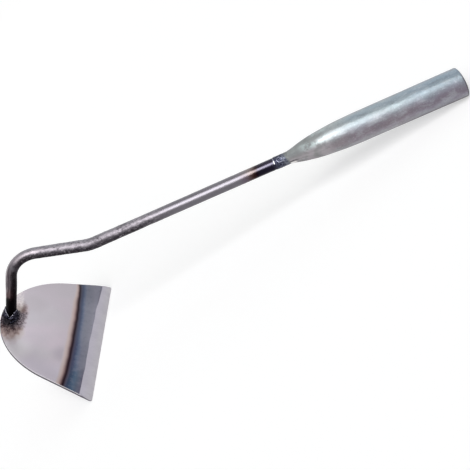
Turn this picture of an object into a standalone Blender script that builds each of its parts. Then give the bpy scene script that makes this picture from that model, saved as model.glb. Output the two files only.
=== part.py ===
"""Half-moon hand hoe: a ground steel blade on a gooseneck rod that is welded into a drawn tube socket.

Units are metres. The tool is drawn in its own frame, with X along the socket towards its mouth, Y along
the cutting edge and Z up, from the point where the rod's axis meets the blade's upper face. An empty
then leans the whole tool so that it rests on its cutting edge and on the rim of the socket's mouth.
"""

import math

import bmesh
import bpy
from mathutils import Matrix, Vector

# Blade: a plate whose outline is one arc at the apex and two straight sides that flare to the edge
BLADE_WIDTH = 0.170
BLADE_DEPTH = 0.098
BLADE_THICKNESS = 0.0022
APEX_RADIUS = 0.073
CORNER_RADIUS = 0.0012
BEVEL_WIDTH = 0.012
EDGE_LAND = 0.0005
BLADE_ANGLE = math.radians(45.5)

# Neck: a round bar, up from the blade, over an elbow, down a little and then straight to the socket
ROD_DIAMETER = 0.010
ROD_INSET = 0.0085
DROP_ANGLE = math.radians(55.2)
DROP_LENGTH = 0.046
ELBOW_RADIUS = 0.030
DIP_ANGLE = math.radians(16.7)
DIP_LENGTH = 0.044
SWEEP_RADIUS = 0.045
SHAFT_LENGTH = 0.188
ROD_INSERTION = 0.026

# Socket: a tube whose one end is drawn down to the rod and pinched at both sides
SOCKET_DIAMETER = 0.0256
SOCKET_WALL = 0.0015
SOCKET_LENGTH = 0.152
NOSE_LENGTH = 0.070
NOSE_FULLNESS = 2.5
TIP_WALL = 0.0006
PINCH_DEPTH = 0.00145
PINCH_SPREAD = math.radians(24)
PINCH_SHARE = 0.8
RIM_CHAMFER = 0.0004

# Welds: a mound round the rod's foot, laid in two passes, and a low ring in front of the socket
FOOT_WELD_RADIUS = 0.0078
FOOT_WELD_SPREAD = 0.0125
FOOT_WELD_HEIGHT = 0.0078
FOOT_WELD_SADDLE = 0.0026
RING_WELD_LENGTH = 0.012
RING_WELD_THICKNESS = 0.0007
RING_WELD_EDGE = 0.45
DAB_SLANT = 2.2
WELD_CREST = 0.00035
WELD_RIPPLES = 11

# Fits and facets
FIT_GAP = 0.0003
ARC_STEP = math.radians(6)
ROUND_FACETS = 48
WELD_FACETS = 44
BAR_BEVEL_RESOLUTION = 10

# Places that follow from the sizes above
ROD_RADIUS = ROD_DIAMETER / 2
SLEEVE_RADIUS = ROD_RADIUS + FIT_GAP
SOCKET_RADIUS = SOCKET_DIAMETER / 2
TIP_RADIUS = SLEEVE_RADIUS + TIP_WALL
EDGE_X = BLADE_DEPTH - ROD_INSET
BLADE_AXIS = Vector((math.cos(BLADE_ANGLE), 0, -math.sin(BLADE_ANGLE)))
BLADE_NORMAL = Vector((math.sin(BLADE_ANGLE), 0, math.cos(BLADE_ANGLE)))


def empty_scene():
    for item in list(bpy.data.objects):
        bpy.data.objects.remove(item, do_unlink=True)


def collection(name, hidden=False):
    made = bpy.data.collections.new(name)
    made.hide_render = hidden
    bpy.context.scene.collection.children.link(made)
    return made


def steel(name, colour, roughness, metallic=1.0):
    made = bpy.data.materials.new(name)
    made.use_nodes = True
    shader = made.node_tree.nodes["Principled BSDF"]
    shader.inputs["Base Color"].default_value = (*colour, 1)
    shader.inputs["Roughness"].default_value = roughness
    shader.inputs["Metallic"].default_value = metallic
    made.diffuse_color = (*colour, 1)
    return made


def place(obj, group, parent, material=None):
    group.objects.link(obj)
    obj.parent = parent
    if material:
        obj.data.materials.append(material)
    return obj


def mesh_object(name, shape, smooth_below=math.radians(35)):
    """An object from a bmesh, its faces turned outwards and its gentle edges shaded smooth."""
    bmesh.ops.recalc_face_normals(shape, faces=shape.faces)
    mesh = bpy.data.meshes.new(name)
    shape.to_mesh(mesh)
    shape.free()
    mesh.shade_smooth()
    mesh.set_sharp_from_angle(angle=smooth_below)
    return bpy.data.objects.new(name, mesh)


def mesh_from_curve(obj, name):
    """The curve's solid as a mesh object with its caps welded on. The curve itself is removed."""
    bpy.context.view_layer.update()
    graph = bpy.context.evaluated_depsgraph_get()
    mesh = bpy.data.meshes.new_from_object(obj.evaluated_get(graph))
    shape = bmesh.new()
    shape.from_mesh(mesh)
    bpy.data.meshes.remove(mesh)
    bmesh.ops.remove_doubles(shape, verts=shape.verts, dist=1e-6)
    made = mesh_object(name, shape)
    made.matrix_world = obj.matrix_world
    bpy.data.objects.remove(obj, do_unlink=True)
    return made


def box_cutter(name, low, high, group, parent):
    shape = bmesh.new()
    size = [b - a for a, b in zip(low, high)]
    middle = [(a + b) / 2 for a, b in zip(low, high)]
    matrix = Matrix.Translation(middle) @ Matrix.Diagonal((*size, 1))
    bmesh.ops.create_cube(shape, size=1, matrix=matrix)
    cutter = mesh_object(name, shape)
    cutter.hide_render = True
    cutter.display_type = "WIRE"
    return place(cutter, group, parent)


def cut(obj, cutter):
    modifier = obj.modifiers.new(cutter.name, "BOOLEAN")
    modifier.operation = "DIFFERENCE"
    modifier.object = cutter


def arc_points(centre, radius, start, end, step=ARC_STEP):
    """Points in a plane along an arc, from the angle start to the angle end."""
    count = max(2, math.ceil(abs(end - start) / step))
    angles = [start + (end - start) * i / count for i in range(count + 1)]
    return [(centre[0] + radius * math.cos(a), centre[1] + radius * math.sin(a)) for a in angles]


def blade_side():
    """Half of the blade's outline, from the apex to the middle of the edge, in the plate's plane."""
    half_width = BLADE_WIDTH / 2
    reach = BLADE_DEPTH - APEX_RADIUS
    # The side is the line through the edge's corner that touches the apex arc
    flare = math.acos(APEX_RADIUS / math.hypot(half_width, reach)) - math.atan2(reach, half_width)
    arc = arc_points((APEX_RADIUS - ROD_INSET, 0), APEX_RADIUS, math.pi, math.pi / 2 + flare)
    # A small arc rounds the corner between the flared side and the edge
    turn = math.pi / 2 + flare
    setback = CORNER_RADIUS * math.tan(turn / 2)
    centre = (EDGE_X - CORNER_RADIUS, half_width - setback)
    corner = arc_points(centre, CORNER_RADIUS, math.pi / 2 + flare, 0, math.radians(30))
    return arc + corner


def build_blade(group, cutters, tool, material):
    side = blade_side()
    outline = side + [(x, -y) for x, y in reversed(side[1:])]
    curve = bpy.data.curves.new("blade_outline", "CURVE")
    curve.dimensions = "2D"
    curve.fill_mode = "BOTH"
    curve.extrude = BLADE_THICKNESS / 2
    spline = curve.splines.new("POLY")
    spline.points.add(len(outline) - 1)
    for point, (x, y) in zip(spline.points, outline):
        point.co = (x, y, 0, 1)
    spline.use_cyclic_u = True
    flat = bpy.data.objects.new("blade_outline", curve)
    group.objects.link(flat)
    # The outline is extruded both ways, so it starts half a thickness under the upper face
    blade = mesh_from_curve(flat, "blade")
    blade.data.transform(Matrix.Translation((0, 0, -BLADE_THICKNESS / 2)))
    place(blade, group, tool, material)
    blade.rotation_euler = (0, BLADE_ANGLE, 0)
    # The grinding wheel takes a wedge off the upper face along the cutting edge
    wheel = box_cutter(
        "bevel_cutter",
        (0, -BLADE_WIDTH, 0),
        (3 * BEVEL_WIDTH, BLADE_WIDTH, 4 * BLADE_THICKNESS),
        cutters,
        blade,
    )
    wheel.location = (EDGE_X - BEVEL_WIDTH, 0, 0)
    wheel.rotation_euler = (0, math.atan2(BLADE_THICKNESS - EDGE_LAND, BEVEL_WIDTH), 0)
    cut(blade, wheel)
    return blade


def neck_path():
    """The rod's centre line in the tool's frame, as (x, z) points from below the blade to the socket."""
    heading = DROP_ANGLE
    foot = -3 * ROD_RADIUS
    points = [(foot * math.cos(heading), foot * math.sin(heading))]
    spot = (DROP_LENGTH * math.cos(heading), DROP_LENGTH * math.sin(heading))
    # The elbow turns the rod down past level, then a wide sweep brings it level again
    centre = (spot[0] + ELBOW_RADIUS * math.sin(heading), spot[1] - ELBOW_RADIUS * math.cos(heading))
    points += arc_points(centre, ELBOW_RADIUS, heading + math.pi / 2, math.pi / 2 - DIP_ANGLE)
    x, z = points[-1]
    spot = (x + DIP_LENGTH * math.cos(DIP_ANGLE), z - DIP_LENGTH * math.sin(DIP_ANGLE))
    centre = (spot[0] + SWEEP_RADIUS * math.sin(DIP_ANGLE), spot[1] + SWEEP_RADIUS * math.cos(DIP_ANGLE))
    points += arc_points(centre, SWEEP_RADIUS, -math.pi / 2 - DIP_ANGLE, -math.pi / 2)
    return points


def build_neck(group, cutters, tool, material):
    path = neck_path()
    x, z = path[-1]
    path.append((x + SHAFT_LENGTH + ROD_INSERTION, z))
    curve = bpy.data.curves.new("neck_line", "CURVE")
    curve.dimensions = "3D"
    curve.bevel_depth = ROD_RADIUS
    curve.bevel_resolution = BAR_BEVEL_RESOLUTION
    curve.use_fill_caps = True
    spline = curve.splines.new("POLY")
    spline.points.add(len(path) - 1)
    for point, (x, z) in zip(spline.points, path):
        point.co = (x, 0, z, 1)
    line = bpy.data.objects.new("neck_line", curve)
    group.objects.link(line)
    neck = mesh_from_curve(line, "neck_rod")
    place(neck, group, tool, material)
    # The foot is sawn parallel to the blade, a hair above its upper face
    reach = 6 * ROD_RADIUS
    saw = box_cutter("foot_cutter", (-reach, -reach, -reach), (reach, reach, FIT_GAP), cutters, tool)
    saw.rotation_euler = (0, BLADE_ANGLE, 0)
    cut(neck, saw)
    return neck


def ring_loft(sections):
    """A closed shell through rings of equal point count. The last ring joins the first again."""
    shape = bmesh.new()
    rings = [[shape.verts.new(point) for point in section] for section in sections]
    count = len(rings[0])
    for ring, following in zip(rings, rings[1:] + rings[:1]):
        for i in range(count):
            j = (i + 1) % count
            shape.faces.new((ring[i], ring[j], following[j], following[i]))
    return shape


def nose_share(along):
    """0 at the nose's tip and 1 where the tube is round and full."""
    return min(1.0, along / NOSE_LENGTH)


def socket_section(along, inside):
    """One ring of the socket, at a distance from its tip. The pinches are dents at both sides."""
    share = nose_share(along)
    radius = SOCKET_RADIUS - (SOCKET_RADIUS - TIP_RADIUS) * (1 - share) ** NOSE_FULLNESS
    if inside:
        radius -= TIP_WALL + (SOCKET_WALL - TIP_WALL) * min(1.0, 3 * share)
    # The pinch starts at nothing at the tip, is deepest in the nose's first third and then fades
    fade = math.sin(math.pi * min(1.0, share / PINCH_SHARE)) ** 2 * (1 - share)
    points = []
    for i in range(ROUND_FACETS):
        angle = math.tau * i / ROUND_FACETS
        off_side = math.acos(min(1.0, abs(math.sin(angle))))
        dent = PINCH_DEPTH * fade * math.exp(-((off_side / PINCH_SPREAD) ** 2))
        reach = radius - dent
        points.append((along, reach * math.sin(angle), reach * math.cos(angle)))
    return points


def build_socket(group, tool, material, tip):
    nose_steps = 14
    stations = [NOSE_LENGTH * (i / nose_steps) ** 1.3 for i in range(nose_steps + 1)]
    straight = SOCKET_LENGTH - NOSE_LENGTH
    stations.append(NOSE_LENGTH + straight / 2)
    outer = [socket_section(along, False) for along in stations]
    outer.append(socket_section(SOCKET_LENGTH - RIM_CHAMFER, False))
    # The rim's outer corner is broken by a small chamfer
    face = SOCKET_RADIUS - RIM_CHAMFER
    angles = [math.tau * i / ROUND_FACETS for i in range(ROUND_FACETS)]
    outer.append([(SOCKET_LENGTH, face * math.sin(a), face * math.cos(a)) for a in angles])
    inner = [socket_section(along, True) for along in [SOCKET_LENGTH, *reversed(stations)]]
    socket = mesh_object("socket_tube", ring_loft(outer + inner))
    place(socket, group, tool, material)
    socket.location = tip
    return socket


def ripple(angle, count=WELD_RIPPLES):
    """The scalloped swell of weld metal laid in short dabs round a joint, from 0 to 1."""
    return abs(math.sin(count * angle / 2))


def foot_reach(angle):
    """How far the foot weld spreads from the rod's axis: an ellipse, longest across the blade."""
    return 1 / math.hypot(math.cos(angle) / FOOT_WELD_RADIUS, math.sin(angle) / FOOT_WELD_SPREAD)


def build_foot_weld(group, tool, material):
    """The mound between the rod's foot and the blade, in the blade's frame."""
    lean = DROP_ANGLE + BLADE_ANGLE
    shift = math.cos(lean) / math.sin(lean)
    levels = 6
    outer = []
    inner = []
    for level in range(levels + 1):
        part = level / levels
        wall = []
        skin = []
        for i in range(WELD_FACETS):
            angle = math.tau * i / WELD_FACETS
            # The two passes climb the rod before and behind, and leave a saddle at each side
            climb = abs(math.cos(angle)) ** 1.5
            top = FOOT_WELD_SADDLE + (FOOT_WELD_HEIGHT - FOOT_WELD_SADDLE) * climb
            height = FIT_GAP + (top - FIT_GAP) * part
            centre = height * shift
            across = SLEEVE_RADIUS * math.sin(angle)
            wall.append((centre + SLEEVE_RADIUS / math.sin(lean) * math.cos(angle), across, height))
            swell = 1 - math.sin(part * math.pi / 2) ** 1.4
            reach = SLEEVE_RADIUS + WELD_CREST + (foot_reach(angle) - SLEEVE_RADIUS) * swell
            reach += WELD_CREST * ripple(angle) * (1 - part) ** 0.5
            skin.append((centre * part + reach * math.cos(angle), reach * math.sin(angle), height))
        outer.append(skin)
        inner.append(wall)
    weld = mesh_object("blade_weld", ring_loft(outer + inner[::-1]))
    place(weld, group, tool, material)
    weld.rotation_euler = (0, BLADE_ANGLE, 0)
    return weld


def build_ring_weld(group, tool, material, tip):
    """The low ring of weld on the rod, in front of the socket's nose."""
    steps = 8
    outer = []
    for step in range(steps + 1):
        part = step / steps
        along = -FIT_GAP - RING_WELD_LENGTH * (1 - part)
        crown = math.sin(math.pi * (0.12 + 0.76 * part))
        body = RING_WELD_THICKNESS * (RING_WELD_EDGE + (1 - RING_WELD_EDGE) * crown)
        ring = []
        for i in range(WELD_FACETS):
            angle = math.tau * i / WELD_FACETS
            # The dabs lie slantwise, so their scallops run round as they go along
            reach = SLEEVE_RADIUS + body * (0.7 + 0.3 * ripple(angle + DAB_SLANT * part))
            ring.append((along, reach * math.sin(angle), reach * math.cos(angle)))
        outer.append(ring)
    inner = []
    for along in (-FIT_GAP, -FIT_GAP - RING_WELD_LENGTH):
        angles = [math.tau * i / WELD_FACETS for i in range(WELD_FACETS)]
        inner.append([(along, SLEEVE_RADIUS * math.sin(a), SLEEVE_RADIUS * math.cos(a)) for a in angles])
    weld = mesh_object("socket_weld", ring_loft(outer + inner))
    place(weld, group, tool, material)
    weld.location = tip
    return weld


def stand(tool, tip):
    """Leans the tool on its cutting edge and its mouth, over the middle of its own length."""
    edge = BLADE_AXIS * EDGE_X - BLADE_NORMAL * BLADE_THICKNESS
    mouth = Vector((tip[0] + SOCKET_LENGTH, 0, tip[2]))
    # Seen from the side, the floor is the line that touches the edge and the rim of the mouth
    rim = mouth + Vector((-RIM_CHAMFER, 0, -SOCKET_RADIUS))
    lean = math.atan2(rim.z - edge.z, rim.x - edge.x)
    turn = Matrix.Rotation(lean, 4, "Y")
    apex = turn @ (-BLADE_AXIS * ROD_INSET - BLADE_NORMAL * BLADE_THICKNESS)
    top_rim = turn @ (mouth + Vector((0, 0, SOCKET_RADIUS - RIM_CHAMFER)))
    outer_rim = turn @ (mouth + Vector((-RIM_CHAMFER, 0, SOCKET_RADIUS)))
    floor = (turn @ edge).z
    middle = (apex.x + max(top_rim.x, outer_rim.x)) / 2
    tool.rotation_euler = (0, lean, 0)
    tool.location = (-middle, 0, -floor)


def main():
    empty_scene()
    parts = collection("hand_hoe")
    cutters = collection("hand_hoe_cutters", hidden=True)
    ground = steel("ground_steel", (0.53, 0.50, 0.53), 0.34)
    scale = steel("forge_scale_steel", (0.18, 0.16, 0.18), 0.42)
    zinc = steel("galvanised_steel", (0.55, 0.57, 0.60), 0.30)
    slag = steel("weld_metal", (0.03, 0.03, 0.035), 0.55, 0.8)
    tool = bpy.data.objects.new("hand_hoe", None)
    parts.objects.link(tool)
    x, z = neck_path()[-1]
    tip = Vector((x + SHAFT_LENGTH, 0, z))
    build_blade(parts, cutters, tool, ground)
    build_neck(parts, cutters, tool, scale)
    build_socket(parts, tool, zinc, tip)
    build_foot_weld(parts, tool, slag)
    build_ring_weld(parts, tool, slag, tip)
    stand(tool, tip)


main()
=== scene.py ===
# %% [markdown]
# A half-moon hand hoe of plain steel. A ground blade is welded to a bent round bar, and the bar runs into
# a drawn, zinc-coated tube that takes a wooden pole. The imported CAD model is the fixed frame: it says
# where each piece goes. This script dresses it with finer pieces, worn finishes, a floor and soft light.

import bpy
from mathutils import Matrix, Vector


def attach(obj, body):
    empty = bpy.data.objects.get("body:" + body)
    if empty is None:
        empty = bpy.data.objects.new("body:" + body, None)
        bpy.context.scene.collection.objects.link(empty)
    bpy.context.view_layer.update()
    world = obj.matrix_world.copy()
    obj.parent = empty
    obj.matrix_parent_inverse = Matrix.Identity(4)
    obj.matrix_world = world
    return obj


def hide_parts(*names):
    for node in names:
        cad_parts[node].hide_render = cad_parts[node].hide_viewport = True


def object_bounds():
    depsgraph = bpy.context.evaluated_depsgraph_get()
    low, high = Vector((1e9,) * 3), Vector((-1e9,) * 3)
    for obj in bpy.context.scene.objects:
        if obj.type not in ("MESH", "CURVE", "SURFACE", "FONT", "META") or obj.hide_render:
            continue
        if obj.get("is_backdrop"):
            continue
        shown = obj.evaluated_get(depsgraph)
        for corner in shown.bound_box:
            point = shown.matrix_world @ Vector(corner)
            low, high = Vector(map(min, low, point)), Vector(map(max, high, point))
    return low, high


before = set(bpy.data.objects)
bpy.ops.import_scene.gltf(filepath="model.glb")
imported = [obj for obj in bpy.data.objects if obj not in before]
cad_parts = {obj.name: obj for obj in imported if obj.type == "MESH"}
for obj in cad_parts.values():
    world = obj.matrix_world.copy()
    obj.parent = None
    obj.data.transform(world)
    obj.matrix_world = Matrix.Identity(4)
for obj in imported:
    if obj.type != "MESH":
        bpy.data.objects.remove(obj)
cad_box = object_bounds()
print("nodes:", ", ".join(sorted(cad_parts)))

# %% [markdown]
# The hoe is drawn in its own frame, with X along the socket, Y along the cutting edge and Z up, from the
# point where the bar's axis meets the blade. Then the whole tool leans until its cutting edge and the rim
# of its mouth touch the floor. One matrix does that, and a second one adds the blade's slope. Each piece
# is modelled flat and square in the easier frame and moved with one of these matrices at its end.

# %% Sizes in metres, and the two frames
import math
import random

import bmesh
import bpy
from mathutils import Matrix, Vector

LEAN = math.radians(12.540495)
STAND = Vector((-0.223815, 0, 0.077098))
BLADE_SLOPE = math.radians(45.5)
tool_frame = Matrix.Translation(STAND) @ Matrix.Rotation(LEAN, 4, "Y")
blade_frame = tool_frame @ Matrix.Rotation(BLADE_SLOPE, 4, "Y")
print("blade slope on the floor:", round(math.degrees(LEAN + BLADE_SLOPE), 1), "degrees")

# %% [markdown]
# A few short helpers keep the modelling cells readable. Operators act on everything that is selected,
# so each new piece starts from an empty selection, and points are picked in code by their place.

# %% Modelling helpers
ops = bpy.ops


def start_clean():
    """Leaves edit mode and deselects everything."""
    if bpy.context.mode != "OBJECT":
        ops.object.mode_set(mode="OBJECT")
    ops.object.select_all(action="DESELECT")


def newly_added(name):
    """Names the primitive just added and puts its place and turn into its mesh."""
    piece = bpy.context.object
    piece.name = piece.data.name = name
    ops.object.transform_apply(location=True, rotation=True, scale=True)
    return piece


def edit(piece):
    start_clean()
    bpy.context.view_layer.objects.active = piece
    piece.select_set(True)
    ops.object.mode_set(mode="EDIT")
    ops.mesh.select_mode(type="VERT")


def pick(piece, test):
    """In edit mode, selects only the points whose place passes the test."""
    ops.mesh.select_mode(type="VERT")
    ops.mesh.select_all(action="DESELECT")
    shape = bmesh.from_edit_mesh(piece.data)
    for point in shape.verts:
        point.select_set(test(point.co))
    shape.select_flush(True)
    bmesh.update_edit_mesh(piece.data)


def pick_edges(piece, test):
    """In edit mode, selects only the edges whose two ends pass the test together."""
    ops.mesh.select_mode(type="EDGE")
    ops.mesh.select_all(action="DESELECT")
    shape = bmesh.from_edit_mesh(piece.data)
    for line in shape.edges:
        line.select_set(test(line.verts[0].co, line.verts[1].co))
    bmesh.update_edit_mesh(piece.data)


def pull(step):
    """Extrudes the selected ring of edges by a vector."""
    ops.mesh.extrude_region_move(TRANSFORM_OT_translate={"value": step})


def apply_all(piece):
    start_clean()
    bpy.context.view_layer.objects.active = piece
    piece.select_set(True)
    for modifier in list(piece.modifiers):
        ops.object.modifier_apply(modifier=modifier.name)


def set_down(piece, matrix, smooth_below=40):
    """Moves a finished piece to its place, with its place in its mesh, and makes it ride on the tool."""
    start_clean()
    piece.data.transform(matrix)
    bpy.context.view_layer.objects.active = piece
    piece.select_set(True)
    ops.object.shade_smooth_by_angle(angle=math.radians(smooth_below))
    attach(piece, "root")
    low, high = (Vector(f(v.co[i] for v in piece.data.vertices) for i in range(3)) for f in (min, max))
    size = [round((b - a) * 1000, 1) for a, b in zip(low, high)]
    print(piece.name, "is", size, "mm with", len(piece.data.polygons), "faces")
    return piece


def copies_of(model, places, name):
    """Copies of a piece, each with its own mesh, set at their places and joined under one name."""
    start_clean()
    made = []
    for place in places:
        copy = model.copy()
        copy.data = model.data.copy()
        copy.data.transform(place)
        bpy.context.scene.collection.objects.link(copy)
        copy.select_set(True)
        made.append(copy)
    bpy.context.view_layer.objects.active = made[0]
    ops.object.join()
    bpy.data.objects.remove(model, do_unlink=True)
    made[0].name = made[0].data.name = name
    return made[0]


def fuse(piece, voxel, softening=0):
    """Adds modifiers that melt overlapping shapes into one skin."""
    skin = piece.modifiers.new("fuse", "REMESH")
    skin.mode, skin.voxel_size = "VOXEL", voxel
    if softening:
        soften = piece.modifiers.new("soften", "SMOOTH")
        soften.factor, soften.iterations = 0.5, softening


# %% [markdown]
# Materials are built from nodes in code. The helpers add a node, feed its sockets with numbers or with
# other nodes' results, and hand back the result. Colours are written as they look on a screen, from 0 to
# 255, and turned into the linear light that the shader works in.

# %% Material helpers


def tone(red, green, blue):
    """A colour as a screen shows it, as linear light."""
    linear = [c / 255 / 12.92 if c <= 10 else ((c / 255 + 0.055) / 1.055) ** 2.4 for c in (red, green, blue)]
    return (*linear, 1)


class Finish:
    """A material under construction."""

    def __init__(self, name, metallic, roughness):
        self.material = bpy.data.materials.new(name)
        self.material.use_nodes = True
        self.tree = self.material.node_tree
        self.shader = self.tree.nodes["Principled BSDF"]
        self.shader.inputs["Metallic"].default_value = metallic
        self.shader.inputs["Roughness"].default_value = roughness
        self.object_place = self.tree.nodes.new("ShaderNodeTexCoord").outputs["Object"]

    def feed(self, socket, value):
        if isinstance(value, bpy.types.NodeSocket):
            self.tree.links.new(value, socket)
        else:
            socket.default_value = value

    def add(self, kind, *values, out=0, **settings):
        made = self.tree.nodes.new("ShaderNode" + kind)
        for name, value in settings.items():
            setattr(made, name, value)
        for socket, value in zip(made.inputs, values):
            if value is not None:
                self.feed(socket, value)
        return made.outputs[out]

    def sum(self, operation, *values, clamp=False):
        return self.add("Math", *values, operation=operation, use_clamp=clamp)

    def place_in(self, matrix, unit=0.001):
        """Places in the frame of a matrix, in millimetres unless another unit is given."""
        mapping = self.tree.nodes.new("ShaderNodeMapping")
        mapping.vector_type = "TEXTURE"
        self.feed(mapping.inputs["Vector"], self.object_place)
        mapping.inputs["Location"].default_value = matrix.to_translation()
        mapping.inputs["Rotation"].default_value = matrix.to_euler()
        mapping.inputs["Scale"].default_value = (unit, unit, unit)
        return mapping.outputs[0]

    def stretched(self, place, x, y, z):
        return self.add("VectorMath", place, (x, y, z), operation="MULTIPLY")

    def split(self, place):
        made = self.tree.nodes.new("ShaderNodeSeparateXYZ")
        self.feed(made.inputs[0], place)
        return made.outputs

    def noise(self, place, scale, detail=4.0, rough=0.5, twist=0.0):
        made = self.tree.nodes.new("ShaderNodeTexNoise")
        self.feed(made.inputs["Vector"], place)
        for name, value in (("Scale", scale), ("Detail", detail), ("Roughness", rough), ("Distortion", twist)):
            made.inputs[name].default_value = value
        return made.outputs["Fac"]

    def cells(self, place, scale, feature="F1"):
        made = self.tree.nodes.new("ShaderNodeTexVoronoi")
        made.feature = feature
        self.feed(made.inputs["Vector"], place)
        made.inputs["Scale"].default_value = scale
        return made.outputs["Distance"]

    def fade(self, value, low, high, to_low=0.0, to_high=1.0):
        """Eases from one number to another while the value goes from low to high."""
        made = self.tree.nodes.new("ShaderNodeMapRange")
        made.interpolation_type = "SMOOTHSTEP"
        for socket, number in zip(made.inputs, (value, low, high, to_low, to_high)):
            self.feed(socket, number)
        return made.outputs[0]

    def near(self, value, middle, reach):
        """1 where the value is at the middle, easing to 0 at the reach on both sides."""
        return self.fade(self.sum("ABSOLUTE", self.sum("SUBTRACT", value, middle)), 0.0, reach, 1.0, 0.0)

    def ramp(self, value, low, high, stops):
        """Colours at given values, blended between."""
        share = self.tree.nodes.new("ShaderNodeMapRange")
        for socket, number in zip(share.inputs, (value, low, high, 0.0, 1.0)):
            self.feed(socket, number)
        made = self.tree.nodes.new("ShaderNodeValToRGB")
        self.feed(made.inputs[0], share.outputs[0])
        band = made.color_ramp
        band.interpolation = "LINEAR"
        for i, (at, colour) in enumerate(stops):
            stop = band.elements[i] if i < 2 else band.elements.new(1.0)
            stop.position = (at - low) / (high - low)
            stop.color = tone(*colour)
        return made.outputs[0]

    def mix(self, share, first, second, blend="MIX"):
        made = self.tree.nodes.new("ShaderNodeMix")
        made.data_type = "RGBA"
        made.blend_type = blend
        for socket, value in zip((made.inputs[0], made.inputs[6], made.inputs[7]), (share, first, second)):
            self.feed(socket, value)
        return made.outputs[2]

    def paint(self, colour=None, roughness=None, metallic=None):
        for name, value in (("Base Color", colour), ("Roughness", roughness), ("Metallic", metallic)):
            if value is not None:
                self.feed(self.shader.inputs[name], value)

    def bump(self, height, distance, strength=1.0):
        made = self.tree.nodes.new("ShaderNodeBump")
        made.inputs["Strength"].default_value = strength
        made.inputs["Distance"].default_value = distance
        self.feed(made.inputs["Height"], height)
        self.tree.links.new(made.outputs[0], self.shader.inputs["Normal"])


# %% [markdown]
# The blade is a flat plate of about 2 mm steel, rounded like a half moon at the top and straight at the
# cutting edge. By hand it starts as a circle: the arc at the apex is kept, the rest is deleted, and the
# two ends are pulled out to the corners of the edge. The outline is then filled and given its thickness.

# %% Blade outline
BLADE_WIDTH, BLADE_DEPTH, BLADE_THICKNESS = 0.1699, 0.098, 0.0022
APEX_RADIUS, BAR_INSET = 0.073, 0.0085
edge_x = BLADE_DEPTH - BAR_INSET
apex_centre = APEX_RADIUS - BAR_INSET
reach = BLADE_DEPTH - APEX_RADIUS
flare = math.acos(APEX_RADIUS / math.hypot(BLADE_WIDTH / 2, reach)) - math.atan2(reach, BLADE_WIDTH / 2)
corner_round = {1: 0.0019, -1: 0.0034}
touch = Vector((apex_centre - APEX_RADIUS * math.sin(flare), APEX_RADIUS * math.cos(flare)))

start_clean()
ops.mesh.primitive_circle_add(vertices=240, radius=APEX_RADIUS, fill_type="NOTHING", location=(apex_centre, 0, 0))
blade = newly_added("blade_plate")
edit(blade)
pick(blade, lambda p: p.x > touch.x + 0.0004)
ops.mesh.delete(type="VERT")
arc_end = min(abs(v.co.y) for v in bmesh.from_edit_mesh(blade.data).verts if v.co.x > touch.x - 0.002)
last = max(v.co.x for v in bmesh.from_edit_mesh(blade.data).verts)
for side in (1, -1):
    pick(blade, lambda p: p.x > last - 1e-6 and p.y * side > 0)
    end = next(v.co.copy() for v in bmesh.from_edit_mesh(blade.data).verts if v.select)
    corner = Vector((edge_x, side * BLADE_WIDTH / 2, 0))
    before = corner + (end - corner).normalized() * corner_round[side]
    after = corner + Vector((0, -side * corner_round[side], 0))
    for i in range(7):
        share = i / 6
        bend = before * (1 - share) ** 2 + corner * 2 * share * (1 - share) + after * share ** 2
        ops.mesh.extrude_vertices_move(TRANSFORM_OT_translate={"value": bend - end})
        end = bend
ops.mesh.select_all(action="SELECT")
ops.mesh.edge_face_add()
ops.mesh.extrude_region_move(TRANSFORM_OT_translate={"value": (0, 0, -BLADE_THICKNESS)})
ops.mesh.select_all(action="SELECT")
ops.mesh.normals_make_consistent(inside=False)
print("blade points:", len(bmesh.from_edit_mesh(blade.data).verts))

# %% [markdown]
# A grinding wheel takes a wedge off the upper face along the edge. Many thin cuts across the plate give
# points to move, because a hand-ground bevel is never quite straight: the line where it starts wanders by
# about a millimetre. The upper edge of the cut then drops until only a thin land is left.

# %% Ground bevel
BEVEL_WIDTH, EDGE_LAND = 0.0118, 0.0005
bevel_x = edge_x - BEVEL_WIDTH


def wander(y):
    """How far the start of the bevel strays from its line, at a place along the edge."""
    step = max(0.0, min(1.0, (y - 0.034) / 0.030))
    small = 0.00025 * math.sin(y * 95 - 0.4) + 0.00012 * math.sin(y * 260 + 1)
    return 0.0018 * step * step * (3 - 2 * step) + small


ops.mesh.select_all(action="SELECT")
ops.mesh.bisect(plane_co=(bevel_x, 0, 0), plane_no=(1, 0, 0))
for cut in range(-40, 41):
    ops.mesh.select_all(action="SELECT")
    ops.mesh.bisect(plane_co=(0, cut * 0.0021, 0), plane_no=(0, 1, 0))
shape = bmesh.from_edit_mesh(blade.data)
drop = BLADE_THICKNESS - EDGE_LAND
for point in shape.verts:
    if point.co.z > -1e-5 and abs(point.co.x - bevel_x) < 1e-5:
        point.co.x += wander(point.co.y)
    elif point.co.z > -1e-5 and point.co.x > bevel_x + 1e-5:
        point.co.z = -drop * (point.co.x - bevel_x - wander(point.co.y)) / (edge_x - bevel_x - wander(point.co.y))
bmesh.update_edit_mesh(blade.data)
ops.mesh.select_all(action="SELECT")
ops.mesh.remove_doubles(threshold=1e-6)
ops.mesh.normals_make_consistent(inside=False)
ops.object.mode_set(mode="OBJECT")
rounding = blade.modifiers.new("softened_edges", "BEVEL")
rounding.width, rounding.segments, rounding.angle_limit = 0.00025, 2, math.radians(50)
rounding.limit_method, rounding.material = "ANGLE", 2
print("bevel from", round(bevel_x * 1000, 1), "to", round(edge_x * 1000, 1), "mm")

# %% [markdown]
# The finish of the blade tells how it was made. The plate was ground bright, which leaves a pale, faintly
# pink grey with soft clouds. The edge was then heated and quenched: the steel shows straw, brown, dark
# blue and pale blue, side by side, where it was hotter. The colours follow the distance from one curved
# line, so they are a colour ramp over that distance, in the blade's own flat frame.

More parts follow.
